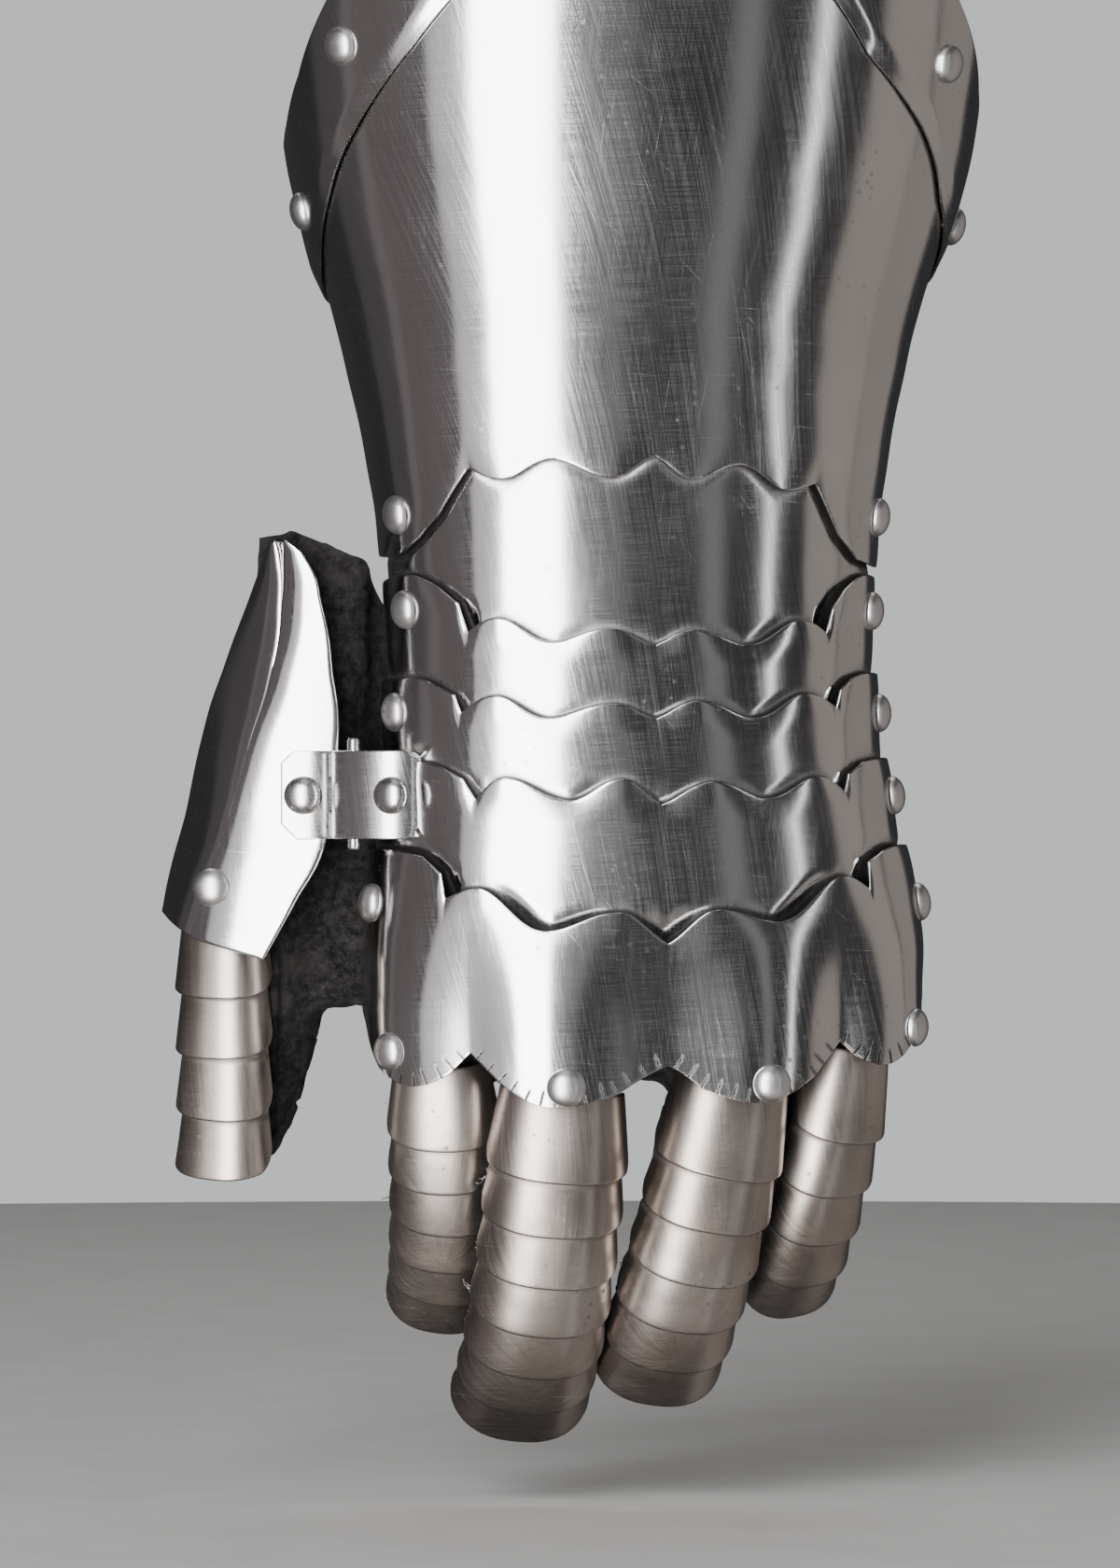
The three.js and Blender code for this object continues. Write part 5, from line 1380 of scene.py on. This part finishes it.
def noiseOver(spots, around, along, offset):
    return np.array([noise.noise(Vector(spot * (around, around, along)) + Vector(offset)) for spot in spots])


def leatherFrom(name, parts, cuts, seed, seam=None):
    # the parts grown into one skin, creased, cut open and given the thickness of the leather
    skin = toMesh(name, *joined(parts), facing=False)
    skin = applied(name, skin, [
        ("REMESH", {"mode": "VOXEL", "voxel_size": glove["voxel"] * mm}),
        ("SMOOTH", {"factor": 0.5, "iterations": glove["smoothing"]}),
    ])
    count = len(skin.vertices)
    spots, normals = np.zeros(count * 3), np.zeros(count * 3)
    skin.vertices.foreach_get("co", spots)
    skin.vertex_normals.foreach_get("vector", normals)
    spots, normals = spots.reshape(-1, 3), normals.reshape(-1, 3)
    scaled = spots / mm
    foldAround, foldAlong, foldDepth = creasing["fold"]
    creaseAround, creaseAlong, creaseDepth = creasing["crease"]
    smallAround, smallAlong, smallDepth = creasing["small"]
    fold = noiseOver(scaled, foldAround, foldAlong, (seed, 0, 0))
    crease = noiseOver(scaled, creaseAround, creaseAlong, (0, seed, 0))
    small = noiseOver(scaled, smallAround, smallAlong, (0, 0, seed))
    deep = 1 - smoothstep(np.abs(crease), 0.0, creasing["creaseWidth"])
    depth = foldDepth * (fold - creasing["foldLevel"]) - creaseDepth * deep + smallDepth * small
    if seam:
        beside = np.abs(scaled[:, 0] - columnAt(seam, 1, scaled[:, 2])) / seamForm["halfWidth"]
        start = -seam[0][0]
        front = (normals[:, 1] < -0.2) * smoothstep(-scaled[:, 2], start, start + seamForm["start"])
        raised = seamForm["rise"] * np.exp(-beside ** 4)
        sunk = seamForm["groove"] * edgeFalloff(beside - seamForm["halfWidth"], seamForm["grooveWidth"])
        depth = depth + front * (raised - sunk)
    spots = spots + normals * (depth * mm)[:, None]
    skin.vertices.foreach_set("co", spots.ravel())
    giveMask(skin, "worn", np.clip(smoothstep(fold, 0.0, 0.4) * (1 - deep) * 0.8 + small * 0.4, 0, 1))
    work = bmesh.new()
    work.from_mesh(skin)
    for spot, way in cuts:
        everything, place = work.verts[:] + work.edges[:] + work.faces[:], Vector(spot) * mm
        bmesh.ops.bisect_plane(work, geom=everything, plane_co=place, plane_no=way, clear_outer=True)
    work.to_mesh(skin)
    work.free()
    return applied(name, skin, [("SOLIDIFY", {"thickness": glove["leather"] * mm, "offset": -1.0})])


def makeGlove():
    parts = [handForm()] + [fingerForm(name) for name in ("index", "middle", "ring", "little")]
    mesh = leatherFrom("glove", parts, [((0, 0, glove["top"]), (0, 0, 1))], glove["seed"])
    replaced = ["glove_hand", "glove_index", "glove_middle", "glove_ring", "glove_little"]
    piece = finishPiece("glove", mesh, suede, replaced, None, 70)
    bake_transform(piece)
    forms = [thumbForm(), panelForm(thumbPanel), panelForm(panelReturn)]
    mesh = leatherFrom("glove_thumb_skin", forms, thumbCuts, glove["thumbSeed"], thumbSeam)
    piece = finishPiece("glove_thumb_skin", mesh, suede, ["glove_thumb"], None, 70)
    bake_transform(piece)


# frayed bits of lining at the edges of the lames: finger, distance down it, angle round it
frayed = {
    "knuckles": [
        ("index", 20, -97), ("index", 34, -99), ("index", 44, -97), ("index", 56, -93), ("index", 73, -60),
        ("middle", 34, -98), ("middle", 49, -97), ("middle", 63, -96), ("middle", 74, -92), ("ring", 60, -96),
    ],
    "thumb": [("thumb", 10, -98), ("thumb", 22, -97), ("thumb", 36, -97), ("thumb", 50, -88)],
}
fibre = {
    "count": 7, "radius": 0.11, "radii": (0.7, 1.4), "tip": 0.45, "reach": 3.4, "lengths": (0.5, 1.3),
    "steps": 14, "spread": 0.55, "root": 0.5, "curl": 0.42,
}


def makeThreads(body):
    rng = np.random.default_rng(len(body))
    parts = []
    for name, distance, angle in frayed[body]:
        start = fingerPoint(name, distance, angle, -1.0, 0.0)
        out = unit(fingerPoint(name, distance, angle, 1.0, 0.0) - start)
        for _ in range(fibre["count"]):
            way = unit(out + rng.normal(0, fibre["spread"], 3))
            path = [start + rng.normal(0, fibre["root"], 3)]
            step = fibre["reach"] * rng.uniform(*fibre["lengths"]) / fibre["steps"]
            for _ in range(fibre["steps"]):
                way = unit(way + rng.normal(0, fibre["curl"], 3))
                path.append(path[-1] + way * step)
            radius = fibre["radius"] * rng.uniform(*fibre["radii"])
            parts.append(tubeAlong(path, np.linspace(1, fibre["tip"], len(path)) * radius))
    name = f"frayed_lining_{body}"
    finishPiece(name, toMesh(name, *joined(parts)), threadFibre, None, body)


makeGlove()
makeThreads("knuckles")
makeThreads("thumb")
print("glove made")


# camera, light and floor, in metres
view = {
    "target": (-0.0128, 0.0018, -0.0436), "away": (0.139, 0.990, 0.0), "distance": 1.5, "sensor": 36.0,
    "lens": 176.8, "turn": -98,
}
floorForm = {"radius": 1.1, "rings": 12, "sides": 96, "gap": 0.012, "roughness": 0.85}
floorLook = {"size": 40, "dark": (0.47, 0.47, 0.465, 1), "pale": (0.50, 0.50, 0.495, 1)}
worldLook = {"seen": (0.66, 0.67, 0.68, 1), "felt": (0.035, 0.035, 0.038, 1)}
# name, turn from the camera's axis (positive to the right), height, distance, width and height of the panel,
# power and colour
lamps = [
    ("key", -17.5, 0.0, 1.5, 0.72, 2.5, 88, (1.0, 0.99, 0.985)),
    ("keyFringe", -41, 0.0, 1.5, 0.48, 2.5, 3.0, (1.0, 0.97, 0.98)),
    ("leftWall", -76, -0.30, 1.5, 1.2, 3.4, 1.6, (1.0, 0.82, 0.84)),
    ("farLeft", -106, -0.30, 1.5, 0.9, 3.4, 0.55, (1.0, 0.88, 0.90)),
    ("front", 5, -0.30, 1.8, 0.55, 3.2, 0.85, (1.0, 0.98, 1.0)),
    ("softStrip", 28, -0.30, 1.5, 0.16, 3.4, 0.45, (0.97, 0.98, 1.0)),
    ("strip", 48.5, -0.30, 1.5, 0.09, 3.4, 3.0, (0.98, 0.98, 1.0)),
    ("warmNear", 84, -0.30, 1.5, 0.85, 3.4, 3.2, (1.0, 0.90, 0.83)),
    ("warmFar", 118, -0.30, 1.5, 0.95, 3.4, 3.0, (1.0, 0.90, 0.83)),
    ("below", 8, -1.35, 0.75, 1.7, 1.1, 1.0, (1.0, 0.80, 0.68)),
    ("above", 0, 1.6, 0.5, 0.9, 0.9, 2.0, (1.0, 0.99, 0.98)),
    ("behind", 180, 1.5, 0.9, 1.2, 0.9, 8, (1.0, 0.99, 0.97)),
]


def makeStage():
    target = Vector(view["target"])
    away = Vector(view["away"]).normalized()
    camera = bpy.data.cameras.new("camera")
    camera.sensor_width, camera.lens = view["sensor"], view["lens"]
    holder = bpy.data.objects.new("camera", camera)
    holder.location = target - away * view["distance"]
    holder.rotation_euler = away.to_track_quat("-Z", "Y").to_euler()
    bpy.context.collection.objects.link(holder)
    bpy.context.scene.camera = holder
    for name, turn, height, distance, width, tall, watts, colour in lamps:
        around = math.radians(view["turn"] + turn)
        spot = target + Vector((math.cos(around) * distance, math.sin(around) * distance, height))
        light = bpy.data.lights.new(name, "AREA")
        light.shape, light.size, light.size_y = "RECTANGLE", width, tall
        light.energy, light.color = watts, colour
        lamp = bpy.data.objects.new(name, light)
        lamp.location = spot
        lamp.rotation_euler = (target - spot).to_track_quat("-Z", "Y").to_euler()
        lamp.visible_camera = False
        bpy.context.collection.objects.link(lamp)


def makeFloor():
    bpy.context.view_layer.update()
    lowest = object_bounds()[0].z
    sides, count = floorForm["sides"], floorForm["rings"]
    turns = np.linspace(0, 2 * math.pi, sides, endpoint=False)
    points, faces = [(0.0, 0.0, 0.0)], []
    for ring in range(1, count + 1):
        r = floorForm["radius"] * ring / count
        points += [(r * math.cos(t), r * math.sin(t), 0.0) for t in turns]
    for k in range(sides):
        n = (k + 1) % sides
        faces.append((0, 1 + k, 1 + n))
        for ring in range(count - 1):
            a, b = 1 + ring * sides, 1 + (ring + 1) * sides
            faces.append((a + k, b + k, b + n, a + n))
    mesh = bpy.data.meshes.new("floor")
    mesh.from_pydata(points, [], faces)
    floor = bpy.data.objects.new("floor", mesh)
    floor.location.z = lowest - floorForm["gap"]
    floor.visible_glossy = False
    floor.visible_shadow = False
    bpy.context.collection.objects.link(floor)
    material, tree, shader = newMaterial("floor_paint", Roughness=floorForm["roughness"])
    speck = rampBetween(tree, noiseAt(tree, stretched(tree, 1, 1, 1), floorLook["size"], 4), 0.3, 0.7)
    colour = mixColour(tree, speck, floorLook["dark"], floorLook["pale"])
    tree.links.new(colour, shader.inputs["Base Color"])
    mesh.materials.append(material)


def makeWorld():
    # a pale background for the camera and a dark one for reflections
    world = bpy.data.worlds.new("studio")
    world.use_nodes = True
    tree = world.node_tree
    tree.nodes.clear()
    path = tree.nodes.new("ShaderNodeLightPath")
    mix, out = tree.nodes.new("ShaderNodeMixShader"), tree.nodes.new("ShaderNodeOutputWorld")
    for socket, look in ((1, "felt"), (2, "seen")):
        background = tree.nodes.new("ShaderNodeBackground")
        background.inputs["Color"].default_value = worldLook[look]
        tree.links.new(background.outputs["Background"], mix.inputs[socket])
    tree.links.new(path.outputs["Is Camera Ray"], mix.inputs["Fac"])
    tree.links.new(mix.outputs["Shader"], out.inputs["Surface"])
    bpy.context.scene.world = world


makeStage()
makeFloor()
makeWorld()
print("stage made")

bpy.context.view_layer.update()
